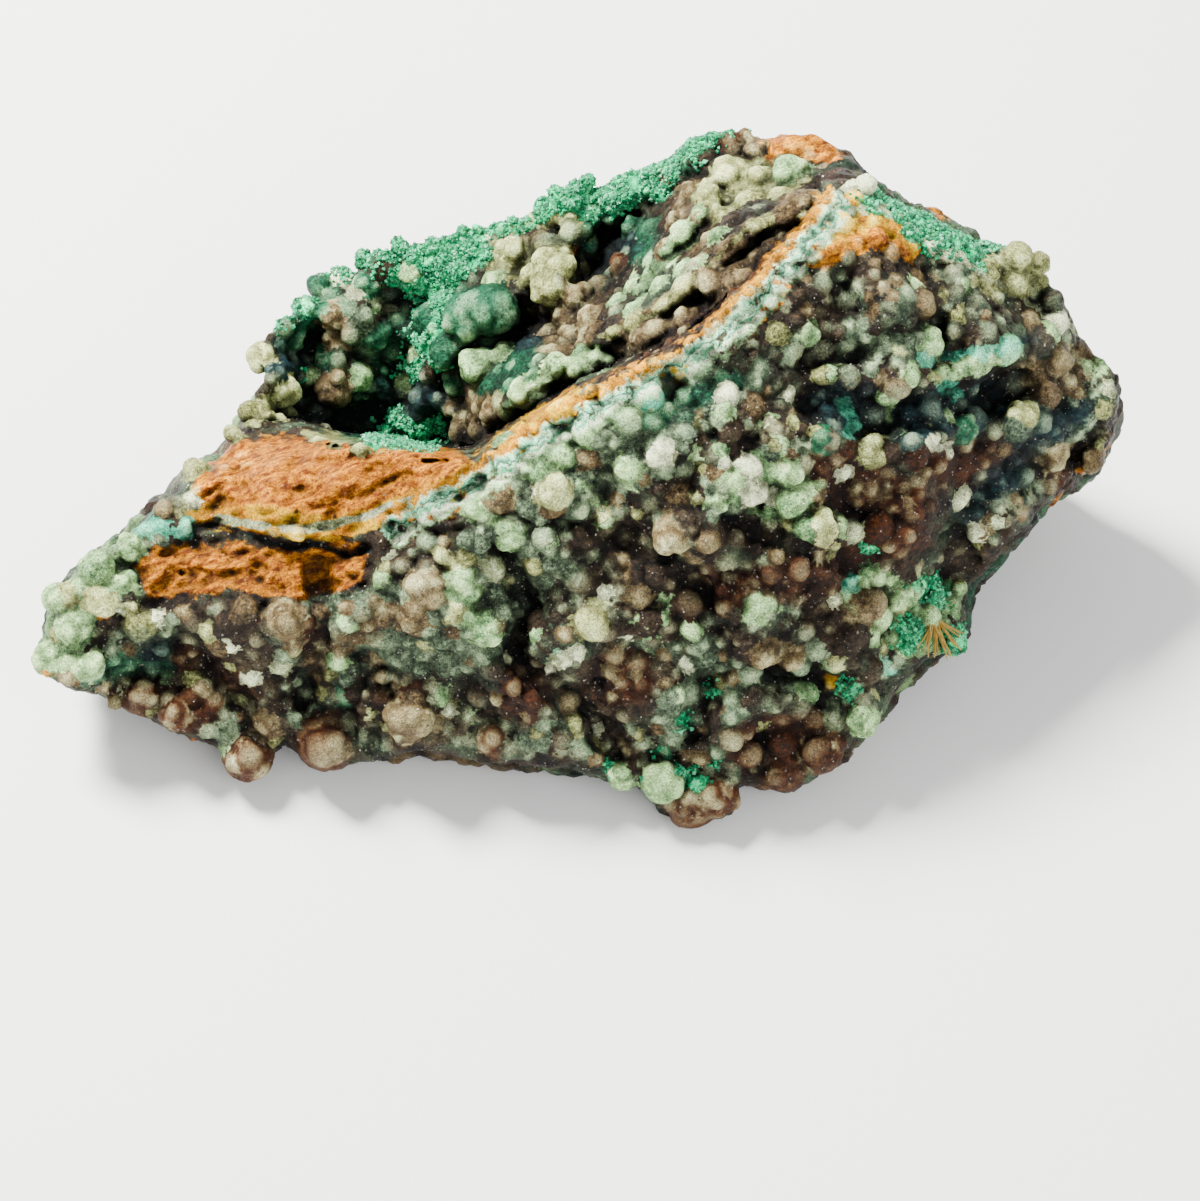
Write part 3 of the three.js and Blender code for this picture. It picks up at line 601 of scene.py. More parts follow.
def lumps_on(relief, across, up, radii, sink, tones, named=None):
    """Lumps whose middles lie `sink` radii under the relief; `named` gives the mineral of each."""
    ways = relief.facing(across, up)
    surface = np.stack([across, up, relief.at(relief.height, across, up)], 1)
    middles = surface - ways * (sink * radii)[:, None]
    places = place_of(across, up, surface[:, 2])
    minerals = np.stack([zone_field(across, up, places, mineral) for mineral in MINERALS], 1)
    if named is None:
        outside = relief.at(relief.hollow, across, up) < 0
        # The finer digits of the tone choose the lumps, as good as at random
        for mineral, most in STRAY_TONES.items():
            minerals[outside & ((tones % 0.1) * 10 < most), MINERALS.index(mineral)] = 0.8
    else:
        minerals = minerals * 0.2 - 0.8
        minerals[np.arange(len(named)), named] = 1.0
    return Lumps(middles, radii, ways, tones, minerals)


def named_lumps(relief):
    """The lumps that are listed one by one, with smaller ones on the large."""
    rows = [
        (across, up, radius, MINERALS.index(mineral))
        for mineral, lumps in NAMED_LUMPS.items()
        for across, up, radius in lumps
    ]
    across, up, radii, minerals = np.array(rows).T
    random = np.random.default_rng(41)
    tones = random.uniform(0.35, 1, len(rows))
    lumps = lumps_on(relief, across, up, radii, np.full(len(rows), 0.3), tones, minerals.astype(int))
    return lumps.joined(satellites(lumps, random))


def satellites(lumps, random):
    """Smaller lumps that sit all over the large ones."""
    counts = np.where(lumps.radii > SATELLITES_FROM, (lumps.radii * SATELLITE_RATE).astype(int), 0)
    parent = np.repeat(np.arange(len(lumps)), counts)
    ways = lumps.ways[parent] + random.normal(0, 0.75, (len(parent), 3))
    ways /= np.linalg.norm(ways, axis=1)[:, None]
    radii = lumps.radii[parent] * random.uniform(0.28, 0.55, len(parent))
    middles = lumps.middles[parent] + ways * (lumps.radii[parent] * 0.72)[:, None]
    tones = np.clip(lumps.tones[parent] + random.normal(0, 0.15, len(parent)), 0, 1)
    return Lumps(middles, radii, ways, tones, lumps.minerals[parent])


def strewn_lumps(relief, count, smallest, largest, sunk, seed, within):
    """Lumps strewn where `within` is true and kept apart."""
    random = np.random.default_rng(seed)
    candidates = np.argwhere(within)
    spots = candidates[random.integers(0, len(candidates), count * 4)]
    spots = spots + random.uniform(-0.5, 0.5, spots.shape)
    across = relief.across_axis[0] + spots[:, 0] * relief.step
    up = relief.up_axis[0] + spots[:, 1] * relief.step
    radii = smallest + (largest - smallest) * random.uniform(0, 1, len(spots)) ** 2.2
    kept = []
    cells = {}
    cell_size = 3
    for index in range(len(spots)):
        x, y, r = across[index], up[index], radii[index]
        cell = (int(x // cell_size), int(y // cell_size))
        around = [
            other
            for shift in itertools.product((-1, 0, 1), repeat=2)
            for other in cells.get((cell[0] + shift[0], cell[1] + shift[1]), ())
        ]
        gaps = [LUMP_SPACING * (r + radii[other]) for other in around]
        apart = [(x - across[other]) ** 2 + (y - up[other]) ** 2 for other in around]
        if all(distance > gap**2 for distance, gap in zip(apart, gaps)):
            cells.setdefault(cell, []).append(index)
            kept.append(index)
        if len(kept) == count:
            break
    sink = random.uniform(*sunk, len(kept))
    return lumps_on(relief, across[kept], up[kept], radii[kept], sink, random.uniform(0, 1, len(kept)))


def all_lumps(relief):
    """The lumps of the outer surface and those of the hollow."""
    within = relief.outline < -0.8
    edge = within & (relief.outline > -2.5)
    plain = within & (relief.hollow < 0) & (relief.broken < 0.4) & (relief.mounds > 0.5) & ~edge
    floor = relief.hollow > 0.3
    named = named_lumps(relief)
    in_hollow = relief.at(relief.hollow, named.middles[:, 0], named.middles[:, 1]) > 0
    outer = named.chosen(~in_hollow)
    outer = outer.joined(strewn_lumps(relief, FRONT_LUMPS, 0.5, 1.6, (-0.1, 0.5), 32, plain))
    outer = outer.joined(strewn_lumps(relief, EDGE_LUMPS, 0.5, 1.1, (0.4, 0.9), 34, edge))
    inner = named.chosen(in_hollow)
    inner = inner.joined(strewn_lumps(relief, HOLLOW_LUMPS, 0.6, 1.5, (0.1, 0.6), 33, floor))
    return outer, inner


class Solid:
    """A field on a grid in seen space: below zero in the stone."""

    def __init__(self, relief, step, low, high):
        self.step = step
        self.low = np.array(low)
        self.axes = [np.arange(low[axis], high[axis], step, dtype=np.float32) for axis in range(3)]
        across, up = np.meshgrid(self.axes[0], self.axes[1], indexing="ij")
        self.height = relief.at(relief.height, across, up).astype(np.float32)
        self.outline = relief.at(relief.outline, across, up).astype(np.float32)
        self.hollow = relief.at(relief.hollow, across, up).astype(np.float32)
        slopes = np.gradient(self.height, step)
        self.slope = np.sqrt(1 + np.minimum(slopes[0] ** 2 + slopes[1] ** 2, 9)).astype(np.float32)
        self.field = None
        self.owner = np.full(self.height.shape + self.axes[2].shape, -1, np.int16)
        self.lumps = Lumps(*(np.zeros(shape) for shape in ((0, 3), 0, (0, 3), 0, (0, len(MINERALS)))))
        self.near_filled = None
        self.far_filled = None

    def above(self, height):
        """Distance above a relief, at every grid point."""
        return (self.axes[2][None, None, :] - height[:, :, None]) / self.slope[:, :, None]

    def world_maps(self):
        """The real x over (across, toward), and y and z over (up, toward)."""
        up, toward = np.meshgrid(self.axes[1], self.axes[2], indexing="ij")
        spread = (VIEW_DISTANCE - toward) / VIEW_DISTANCE
        y = VIEW_CENTRE[1] + up * spread * AXIS_UP[1] + toward * AXIS_TOWARD[1]
        z = VIEW_CENTRE[2] + up * spread * AXIS_UP[2] + toward * AXIS_TOWARD[2]
        across, toward = np.meshgrid(self.axes[0], self.axes[2], indexing="ij")
        x = VIEW_CENTRE[0] + across * (VIEW_DISTANCE - toward) / VIEW_DISTANCE
        return x.astype(np.float32), y.astype(np.float32), z.astype(np.float32)

    def grow(self, lumps):
        """Adds flattened lumps to the solid and notes the places that are theirs."""
        first = len(self.lumps)
        margin = 1
        self.lumps = self.lumps.joined(lumps)
        for number, (middle, radius, way) in enumerate(zip(lumps.middles, lumps.radii, lumps.ways)):
            window = []
            for axis in range(3):
                start = int((middle[axis] - radius - margin - self.low[axis]) / self.step)
                stop = int((middle[axis] + radius + margin - self.low[axis]) / self.step) + 2
                window.append(slice(max(start, 0), max(stop, 0)))
            window = tuple(window)
            x, y, z = np.ix_(*(self.axes[axis][window[axis]] - middle[axis] for axis in range(3)))
            along = x * way[0] + y * way[1] + z * way[2]
            distance = np.sqrt(x * x + y * y + z * z + LUMP_SQUASH * along * along) - radius
            self.field[window] = -rounded_max(-self.field[window], -distance, 0.15 * radius)
            self.owner[window] = np.where(distance < OWNED_REACH, first + number, self.owner[window])

    def note_filling(self):
        """Keeps how full the surroundings of each place are, close by and farther off."""
        filled = (self.field < 0).astype(np.float32)
        near = filled
        for axis in (0, 1, 2, 0, 1, 2):
            near = box_blur(near, axis, round(NEAR_REACH / self.step))
        self.near_filled = near
        far = near
        for axis in (0, 1, 2, 0, 1, 2):
            far = box_blur(far, axis, round(FAR_REACH / self.step))
        self.far_filled = far

    def value_at(self, values, seen):
        """Values of a grid at the nearest grid points."""
        nearest = np.rint((seen - self.low) / self.step).astype(int)
        limits = np.array(values.shape) - 1
        nearest = np.clip(nearest, 0, limits)
        return values[nearest[:, 0], nearest[:, 1], nearest[:, 2]]

    def mesh(self):
        """Points in seen space, and the faces, of the surface where the field is zero."""
        grid = openvdb.FloatGrid(background=2.0)
        grid.copyFromArray(np.clip(self.field, -2, 2).astype(np.float32))
        points, triangles, quads = grid.convertToPolygons(isovalue=0.0, adaptivity=0.0)
        return points * self.step + self.low, triangles, quads


def box_blur(values, axis, reach):
    """The mean over a window of 2 * reach + 1 along one axis."""
    width = 2 * reach + 1
    padding = [(0, 0)] * values.ndim
    padding[axis] = (reach + 1, reach)
    total = np.cumsum(np.pad(values, padding, mode="edge"), axis=axis, dtype=np.float32)
    count = values.shape[axis]
    upper = np.take(total, np.arange(width, width + count), axis=axis)
    lower = np.take(total, np.arange(0, count), axis=axis)
    return (upper - lower) / width


def stone_solid(relief, outer, inner):
    """The whole stone, whose hollow is cut a little deeper to take the crust."""
    solid = Solid(relief, STONE_STEP, *STONE_SPACE)
    x, y, z = solid.world_maps()
    field = rounded_max(solid.above(solid.height), solid.outline[:, :, None], EDGE_ROUNDING)
    wall = np.interp(x, *zip(*BACK_WALL)).astype(np.float32)
    field = rounded_max(field, y[None, :, :] - wall[:, None, :] + WALL_INSET, EDGE_ROUNDING)
    reach = np.sqrt((x[:, None, :] / FOOTPRINT_RADII[0]) ** 2 + (y[None, :, :] / FOOTPRINT_RADII[1]) ** 2)
    below = FOOTPRINT_RISE * np.maximum(reach - 1, 0) - EDGE_ROUNDING - z[None, :, :]
    solid.field = rounded_max(field, below, EDGE_ROUNDING)
    solid.grow(hidden_lumps(solid, z))
    solid.grow(outer)
    without_crust = solid.field.copy()
    solid.grow(inner)
    solid.note_filling()
    bed = solid.height - BED_DEPTH * smooth_step((solid.hollow - BED_INSET) / 1.5)
    cut = np.where(solid.hollow[:, :, None] > BED_INSET, solid.above(bed), -9)
    solid.field = np.maximum(np.maximum(without_crust, cut), -z[None, :, :])
    return solid


def hidden_lumps(solid, z):
    """Lumps on the sides and back that the photograph doesn't show."""
    random = np.random.default_rng(31)
    depth = solid.height[:, :, None] - solid.axes[2][None, None, :]
    just_inside = (solid.field < -0.2) & (solid.field > -1.1)
    out_of_sight = depth > 4.5
    off_the_table = z[None, :, :] > 1.5
    cells = np.argwhere(just_inside & out_of_sight & off_the_table)
    cells = cells[random.integers(0, len(cells), HIDDEN_LUMPS)]
    radii = random.uniform(0.3, 0.8, len(cells)) - solid.field[tuple(cells.T)]
    middles = cells * solid.step + solid.low
    places = place_of(*middles.T)
    minerals = np.stack([patch_field(places, mineral) for mineral in MINERALS], 1)
    return Lumps(middles, radii, np.zeros(middles.shape), random.uniform(0, 1, len(cells)), minerals)


def crust_solid(relief, lumps):
    """The crust that lines the hollow, as a thick skin whose top is the hollow's floor."""
    solid = Solid(relief, CRUST_STEP, *CRUST_SPACE)
    top = solid.above(solid.height)
    bottom = -solid.above(solid.height - CRUST_THICKNESS)
    edge = 0.6 - solid.hollow[:, :, None]
    solid.field = rounded_max(rounded_max(top, bottom, 0.6), edge, 0.8)
    solid.grow(lumps)
    return solid


def mesh_object(name, points, faces):
    """A mesh in metres from points in millimetres."""
    mesh = bpy.data.meshes.new(name)
    mesh.from_pydata((points * METRES).tolist(), [], faces)
    piece = bpy.data.objects.new(name, mesh)
    bpy.context.scene.collection.objects.link(piece)
    return piece


def outward(points, triangles, quads):
    """The faces as one list, turned so that they point out."""
    corners = np.concatenate([quads[:, [0, 1, 2]], quads[:, [0, 2, 3]], triangles])
    p, q, r = points[corners[:, 0]], points[corners[:, 1]], points[corners[:, 2]]
    if np.einsum("ij,ij->i", p, np.cross(q, r)).sum() < 0:
        quads, triangles = quads[:, ::-1], triangles[:, ::-1]
    return quads.tolist() + triangles.tolist()


def largest_part(points, triangles, quads):
    """Drops the small loose pieces of a surface."""
    runs = [quads[:, [0, 1]], quads[:, [1, 2]], quads[:, [2, 3]], triangles[:, :2], triangles[:, 1:]]
    links = np.concatenate(runs)
    label = np.arange(len(points))
    settled = False
    while not settled:
        before = label.copy()
        lowest = np.minimum(label[links[:, 0]], label[links[:, 1]])
        np.minimum.at(label, links[:, 0], lowest)
        np.minimum.at(label, links[:, 1], lowest)
        label = label[label]
        settled = (label == before).all()
    kept = label == np.bincount(label).argmax()
    index = np.cumsum(kept) - 1
    return points[kept], index[triangles[kept[triangles[:, 0]]]], index[quads[kept[quads[:, 0]]]]


def thinned(piece, most_triangles, keep):
    """Thins a mesh to a triangle count, least where `keep`, by vertex, is near 1."""
    triangles = sum(len(face.vertices) - 2 for face in piece.data.polygons)
    if triangles > most_triangles:
        group = piece.vertex_groups.new(name="thin")
        levels = 5
        level_of = np.rint(1 + (1 - keep) * (levels - 1))
        for level in range(1, levels + 1):
            group.add(np.nonzero(level_of == level)[0].tolist(), level / levels, "REPLACE")
        modifier = piece.modifiers.new("thin", "DECIMATE")
        modifier.ratio = most_triangles / triangles
        modifier.vertex_group = "thin"
        modifier.vertex_group_factor = 1.0
        evaluated = piece.evaluated_get(bpy.context.evaluated_depsgraph_get())
        thin = bpy.data.meshes.new_from_object(evaluated)
        piece.modifiers.clear()
        piece.vertex_groups.clear()
        piece.data = thin
    return piece


def vertex_places(piece):
    places = np.zeros(len(piece.data.vertices) * 3)
    piece.data.vertices.foreach_get("co", places)
    return places.reshape(-1, 3) / METRES


def vertex_normals(piece):
    normals = np.zeros(len(piece.data.vertices) * 3)
    piece.data.vertices.foreach_get("normal", normals)
    return normals.reshape(-1, 3)


def set_attribute(piece, name, values):
    layer = piece.data.attributes.new(name, "FLOAT", "POINT")
    layer.data.foreach_set("value", np.asarray(values, np.float32))


def attribute_values(piece, name):
    values = np.zeros(len(piece.data.vertices), np.float32)
    piece.data.attributes[name].data.foreach_get("value", values)
    return values


def zone_field(across, up, places, mineral):
    """Above zero where a mineral colours the stone: 1 in the middle of its zones, -1 far off."""
    number = MINERALS.index(mineral)
    ragged = 0.3 * cloud(places, 1.9, 40 + number) + 0.2 * cloud(places, 0.8, 60 + number)
    nearness = np.full(across.shape, -1.0)
    for route, reach in ZONES[mineral]:
        distance = route_distance(across, up, route)[0]
        nearness = np.maximum(nearness, (reach - distance) / min(reach, 1.5))
    return np.clip(nearness + ragged, -1, 1)


def patch_field(places, mineral):
    """The same for the hidden sides, where the minerals lie in loose patches."""
    if mineral not in PATCH_THRESHOLDS:
        return np.full(len(places), -1.0)
    number = MINERALS.index(mineral)
    noise = cloud(places, 8.0, 80 + number) * 0.6 + cloud(places, 2.2, 90 + number) * 0.5
    return np.clip((noise - PATCH_THRESHOLDS[mineral]) * 2, -1, 1)


def store_openness(piece, solid):
    """Stores how open the surroundings are: low in creases and recesses, high on tops."""
    places = vertex_places(piece)
    normals = vertex_normals(piece)
    seen = np.stack(sight_of(places), 1)
    way = normals @ np.stack([AXIS_ACROSS, AXIS_UP, AXIS_TOWARD], 1)
    near = 1 - solid.value_at(solid.near_filled, seen + way * 0.5)
    wide = 1 - solid.value_at(solid.far_filled, seen + way * 2.0)
    # The material paints shade into the colour by these two: darker where the surroundings are full
    set_attribute(piece, "open", np.clip(near, 0, 1))
    set_attribute(piece, "wide", np.clip(wide, 0, 1))


def crest_fields(across, up):
    """Millimetres behind the crest line, and 1 near the line but 0 past its ends."""
    distance, along, side = route_distance(across, up, CREST)
    near = smooth_step((3.4 - distance) / 0.5) * (along > 0) * (along < len(CREST) - 1)
    return distance * side, near


def shown_share(relief, seen, depth, fading):
    """1 near the surface that the viewer sees, and 0 from `depth` behind it."""
    rise = seen[:, 2] - relief.at(relief.height, seen[:, 0], seen[:, 1])
    return smooth_step((rise + depth) / fading)


def paint_ground(piece, solid, surroundings, relief):
    """Stores on a mesh what its material needs to know."""
    places = vertex_places(piece)
    across, up, toward = sight_of(places)
    spots = np.stack([across, up, toward], 1)
    shown = shown_share(relief, spots, 4.5, 2.5)
    owner = solid.value_at(solid.owner, spots).astype(int)
    lumpy = owner >= 0
    lumps = solid.lumps.chosen(owner)
    for number, mineral in enumerate(MINERALS):
        strength = zone_field(across, up, places, mineral) * shown
        strength = strength + patch_field(places, mineral) * (1 - shown)
        of_lump = 0.85 * lumps.minerals[:, number] + 0.15 * strength
        of_ground = strength - GROUND_PALENESS.get(mineral, 0)
        set_attribute(piece, mineral, np.where(lumpy, of_lump, of_ground))
    offsets = (spots - lumps.middles) / lumps.radii[:, None]
    top = np.clip(np.einsum("ij,ij->i", offsets, lumps.ways), 0, 1)
    set_attribute(piece, "tone", np.where(lumpy, lumps.tones, 0.45 + 0.45 * cloud(places, 1.6, 74)))
    set_attribute(piece, "top", np.where(lumpy, top, 0))
    # Painted light and shade: the lumps lighter toward their tops and darker at their feet, the ground
    # between them at one level
    set_attribute(piece, "shade", np.where(lumpy, 0.6 + 0.65 * top, 0.68))
    set_attribute(piece, "even", lumpy * shown)
    behind_crest, near_crest = crest_fields(across, up)
    set_attribute(piece, "crest", behind_crest)
    set_attribute(piece, "veined", near_crest * shown)
    store_openness(piece, surroundings)


def roughened(piece, relief):
    """Small domes and fine unevenness all over, but plain grain on the broken orange surface."""
    places = vertex_places(piece)
    across, up, _ = sight_of(places)
    broken = relief.at(relief.broken, across, up)
    even = attribute_values(piece, "even")
    knobs = 0.65 * domes(places, 1.5, 70) + 0.35 * domes(places, 0.85, 77)
    grain = 0.1 * cloud(places, 0.9, 71) + 0.07 * cloud(places, 0.45, 72) + 0.2 * cloud(places, 2.2, 73)
    rise = np.clip(places[:, 2] / 0.5, 0, 1)
    bulges = (0.5 * smooth_step((knobs - 0.5) / 0.45) - 0.32) * (1 - 0.6 * even)
    moves = (bulges * (1 - broken) + grain) * rise
    # The material paints shade into the creases between these knobs
    set_attribute(piece, "knob", np.maximum(knobs + 0.5 * even * (1 - knobs), broken))
    moved = places + vertex_normals(piece) * moves[:, None]
    moved[:, 2] = np.maximum(moved[:, 2], 0)
    piece.data.vertices.foreach_set("co", (moved * METRES).ravel())
    piece.data.update()


def smooth(piece):
    piece.data.polygons.foreach_set("use_smooth", np.ones(len(piece.data.polygons), bool))
    piece.data.update()


def ground_piece(name, solid, most_triangles, relief, surroundings):
    """The finished mesh of a solid."""
    seen, triangles, quads = largest_part(*solid.mesh())
    points = place_of(seen[:, 0], seen[:, 1], seen[:, 2])
    piece = mesh_object(name, points, outward(points, triangles, quads))
    shown = shown_share(relief, seen, 5, 2)
    piece = thinned(piece, most_triangles, np.where(points[:, 2] > 0.5, 0.5 + 0.5 * shown, 0))
    smooth(piece)
    paint_ground(piece, solid, surroundings, relief)
    roughened(piece, relief)
    return piece


def strewn(piece, weights, count, seed):
    """Random places on a mesh, with their normals, chosen by the vertex weights."""
    random = np.random.default_rng(seed)
    piece.data.calc_loop_triangles()
    corners = np.zeros(len(piece.data.loop_triangles) * 3, np.int32)
    piece.data.loop_triangles.foreach_get("vertices", corners)
    corners = corners.reshape(-1, 3)
    places = vertex_places(piece)
    p, q, r = (places[corners[:, k]] for k in range(3))
    face = np.cross(q - p, r - p)
    area = np.linalg.norm(face, axis=1)
    chance = area * weights[corners].mean(1)
    chosen = random.choice(len(corners), count, p=chance / chance.sum())
    s, t = random.uniform(0, 1, (2, count))
    over = s + t > 1
    s, t = np.where(over, 1 - s, s), np.where(over, 1 - t, t)
    spots = p[chosen] + (q - p)[chosen] * s[:, None] + (r - p)[chosen] * t[:, None]
    return spots, face[chosen] / area[chosen][:, None], random


def copies(name, spots, normals, sizes, lean, points, faces, random):
    """One mesh of many small copies of a shape, each turned and leaning at random."""
    count = len(spots)
    axis = normals + random.normal(0, lean, (count, 3))
    axis /= np.linalg.norm(axis, axis=1)[:, None]
    side = np.cross(axis, random.normal(0, 1, (count, 3)))
    side /= np.linalg.norm(side, axis=1)[:, None]
    frames = np.stack([side, np.cross(axis, side), axis], 1)
    turned = np.einsum("pk,ckj->cpj", np.asarray(points, float), frames)
    everywhere = spots[:, None, :] + turned * sizes[:, None, None]
    index = np.asarray(faces)[None] + (np.arange(count) * len(points))[:, None, None]
    piece = mesh_object(name, everywhere.reshape(-1, 3), index.reshape(-1, 3).tolist())
    set_attribute(piece, "tone", np.repeat(random.uniform(0, 1, count), len(points)))
    return piece


def crystal_shape():
    """A short four-sided crystal with a pointed end: points and faces."""
    points = [(0.5, 0, -0.5), (0, 0.5, -0.5), (-0.5, 0, -0.5), (0, -0.5, -0.5)]
    points += [(0.5, 0, 0.3), (0, 0.5, 0.3), (-0.5, 0, 0.3), (0, -0.5, 0.3), (0, 0, 0.9)]
    faces = [(0, 3, 2), (0, 2, 1)]
    for k in range(4):
        after = (k + 1) % 4
        faces += [(k, after, 4 + after), (k, 4 + after, 4 + k), (4 + k, 4 + after, 8)]
    return points, faces


def grain_shape():
    """A small lumpy grain: an octahedron with uneven arms."""
    points = [(1, 0, 0), (0, 1.1, 0.1), (-0.9, 0, 0.1), (0, -1, 0), (0.1, 0, 1.2), (0, 0, -0.8)]
    faces = [(0, 1, 4), (1, 2, 4), (2, 3, 4), (3, 0, 4), (1, 0, 5), (2, 1, 5), (3, 2, 5), (0, 3, 5)]
    return points, faces


def make_druse(stone):
    """Tiny quartz crystals over the brown stretches of the front."""
    bare = 1.0
    for mineral in ("limonite", "emerald", "turquoise", "ochre"):
        bare = bare * (attribute_values(stone, mineral) < 0)
    facing = np.clip(vertex_normals(stone) @ AXIS_TOWARD + 0.2, 0, 1)
    spots, normals, random = strewn(stone, bare * facing + 1e-6, DRUSE_COUNT, 81)
    sizes = 0.07 + 0.1 * random.uniform(0, 1, len(spots)) ** 2
    high = spots[:, 2] > CLEAR_OF_TABLE
    points, faces = crystal_shape()
    return copies("druse", spots[high], normals[high], sizes[high], 0.5, points, faces, random)


def make_moss(name, ground, count, seed):
    """Green mossy grains on the emerald stretches."""
    weights = np.clip(attribute_values(ground, "emerald") + 0.2, 0, 1) * attribute_values(ground, "open")
    weights = weights * (cloud(vertex_places(ground), 1.1, seed) > -0.25)
    spots, normals, random = strewn(ground, weights + 1e-7, count, seed)
    sizes = 0.13 + 0.2 * random.uniform(0, 1, len(spots)) ** 1.5
    high = spots[:, 2] > CLEAR_OF_TABLE
    points, faces = grain_shape()
    return copies(name, spots[high], normals[high], sizes[high], 0.6, points, faces, random)


def make_needles(relief):
    """The spray of fine golden needles at the lower right."""
    random = np.random.default_rng(83)
    root = np.array([30.6, -1.6])
    tips = [
        (31.6, -4.9), (30.4, -5.0), (32.5, -4.2), (29.6, -4.4), (31.0, -4.0), (33.0, -3.0),
        (30.0, -3.4), (32.0, -5.3),
    ]
    strands = 3
    foot_radius, tip_radius = 0.13, 0.05
    starts = root + random.normal(0, 0.25, (len(tips) * strands, 2))
    ends = np.repeat(tips, strands, axis=0) + random.normal(0, 0.3, starts.shape)
    corners = [(math.cos(k * math.pi / 2), math.sin(k * math.pi / 2)) for k in range(4)]
    points, faces = [], []
    for start, end in zip(starts, ends):
        across, up = np.array([start[0], end[0]]), np.array([start[1], end[1]])
        foot, tip = place_of(across, up, relief.at(relief.height, across, up) + np.array([0.3, 1.5]))
        side = np.cross(tip - foot, AXIS_TOWARD)
        side /= np.linalg.norm(side)
        other = np.cross(tip - foot, side) / np.linalg.norm(tip - foot)
        base = len(points)
        points += [foot + (side * x + other * y) * foot_radius for x, y in corners]
        points += [tip + (side * x + other * y) * tip_radius for x, y in corners]
        for k in range(4):
            after = (k + 1) % 4
            faces.append((base + k, base + 4 + k, base + 4 + after, base + after))
        faces += [(base, base + 1, base + 2, base + 3), (base + 7, base + 6, base + 5, base + 4)]
    return mesh_object("needles", np.array(points), faces)


class Nodes:
    """Short ways to wire a material's nodes."""

    def __init__(self, name):
        self.material = bpy.data.materials.new(name)
        self.material.use_nodes = True
        self.tree = self.material.node_tree
        self.shader = self.tree.nodes["Principled BSDF"]
        self.coordinates = self.tree.nodes.new("ShaderNodeTexCoord").outputs["Object"]

    def feed(self, socket, value):
        if isinstance(value, bpy.types.NodeSocket):
            self.tree.links.new(value, socket)
        else:
            socket.default_value = value

    def mix(self, share, first, second, mode="MIX"):
        """The first colour where the share is 0 and the second where it is 1."""
        node = self.tree.nodes.new("ShaderNodeMix")
        node.data_type = "RGBA"
        node.blend_type = mode
        self.feed(node.inputs["Factor"], share)
        self.feed(node.inputs[6], first)
        self.feed(node.inputs[7], second)
        return node.outputs[2]

    def math(self, operation, first, second=0.0):
        node = self.tree.nodes.new("ShaderNodeMath")
        node.operation = operation
        self.feed(node.inputs[0], first)
        self.feed(node.inputs[1], second)
        return node.outputs[0]

    def spread(self, value, low, high, to_low=0.0, to_high=1.0):
        """The value's way from low to high, drawn out to another range and held within it."""
        node = self.tree.nodes.new("ShaderNodeMapRange")
        self.feed(node.inputs["Value"], value)
        ends = {"From Min": low, "From Max": high, "To Min": to_low, "To Max": to_high}
        for name, number in ends.items():
            node.inputs[name].default_value = number
        return node.outputs["Result"]

    def attribute(self, name):
        node = self.tree.nodes.new("ShaderNodeAttribute")
        node.attribute_name = name
        return node.outputs["Fac"]

    def noise(self, size, detail=4.0, roughness=0.6, vector=None):
        """Cloudy noise from 0 to 1, its largest blots about `size` millimetres across."""
        node = self.tree.nodes.new("ShaderNodeTexNoise")
        self.feed(node.inputs["Vector"], vector or self.coordinates)
        node.inputs["Scale"].default_value = 1 / (size * METRES)
        node.inputs["Detail"].default_value = detail
        node.inputs["Roughness"].default_value = roughness
        return node.outputs["Fac"]

    def stretched(self, turn, scale):
        """Coordinates drawn out along directions turned about the upright axis."""
        node = self.tree.nodes.new("ShaderNodeMapping")
        node.vector_type = "TEXTURE"
        self.feed(node.inputs["Vector"], self.coordinates)
        node.inputs["Rotation"].default_value = (0, 0, turn)
        node.inputs["Scale"].default_value = scale
        return node.outputs["Vector"]

    def cells(self, size, output="Distance"):
        """Packed cells about `size` millimetres across."""
        node = self.tree.nodes.new("ShaderNodeTexVoronoi")
        self.feed(node.inputs["Vector"], self.coordinates)
        node.inputs["Scale"].default_value = 1 / (size * METRES)
        return node.outputs[output]

    def bands(self, value, stops):
        """Colours by value, between the lowest and the highest stop."""
        low, high = stops[0][0], stops[-1][0]
        node = self.tree.nodes.new("ShaderNodeValToRGB")
        self.feed(node.inputs["Fac"], self.spread(value, low, high))
        ramp = node.color_ramp
        ramp.elements[0].color = colour(stops[0][1])
        ramp.elements[1].color = colour(stops[-1][1])
        for place, code in stops[1:-1]:
            ramp.elements.new((place - low) / (high - low)).color = colour(code)
        return node.outputs["Color"]

    def vivid(self, shown, saturation, value, gamma):
        """The colour with its contrast, strength and brightness raised."""
        curve = self.tree.nodes.new("ShaderNodeGamma")
        curve.inputs["Gamma"].default_value = gamma
        self.feed(curve.inputs["Color"], shown)
        node = self.tree.nodes.new("ShaderNodeHueSaturation")
        node.inputs["Saturation"].default_value = saturation
        node.inputs["Value"].default_value = value
        self.feed(node.inputs["Color"], curve.outputs["Color"])
        return node.outputs["Color"]

    def bump(self, height, distance, strength=1.0, normal=None):
        """Unevenness of up to `distance` millimetres, on top of another."""
        node = self.tree.nodes.new("ShaderNodeBump")
        node.inputs["Distance"].default_value = distance * METRES
        self.feed(node.inputs["Strength"], strength)
        self.feed(node.inputs["Height"], height)
        if normal is not None:
            self.feed(node.inputs["Normal"], normal)
        return node.outputs["Normal"]


def colour(code):
    """A linear colour from the usual six letters and digits."""
    parts = [int(code[i:i + 2], 16) / 255 for i in (0, 2, 4)]
    linear = [part / 12.92 if part <= 0.04045 else ((part + 0.055) / 1.055) ** 2.4 for part in parts]
    return (*linear, 1.0)


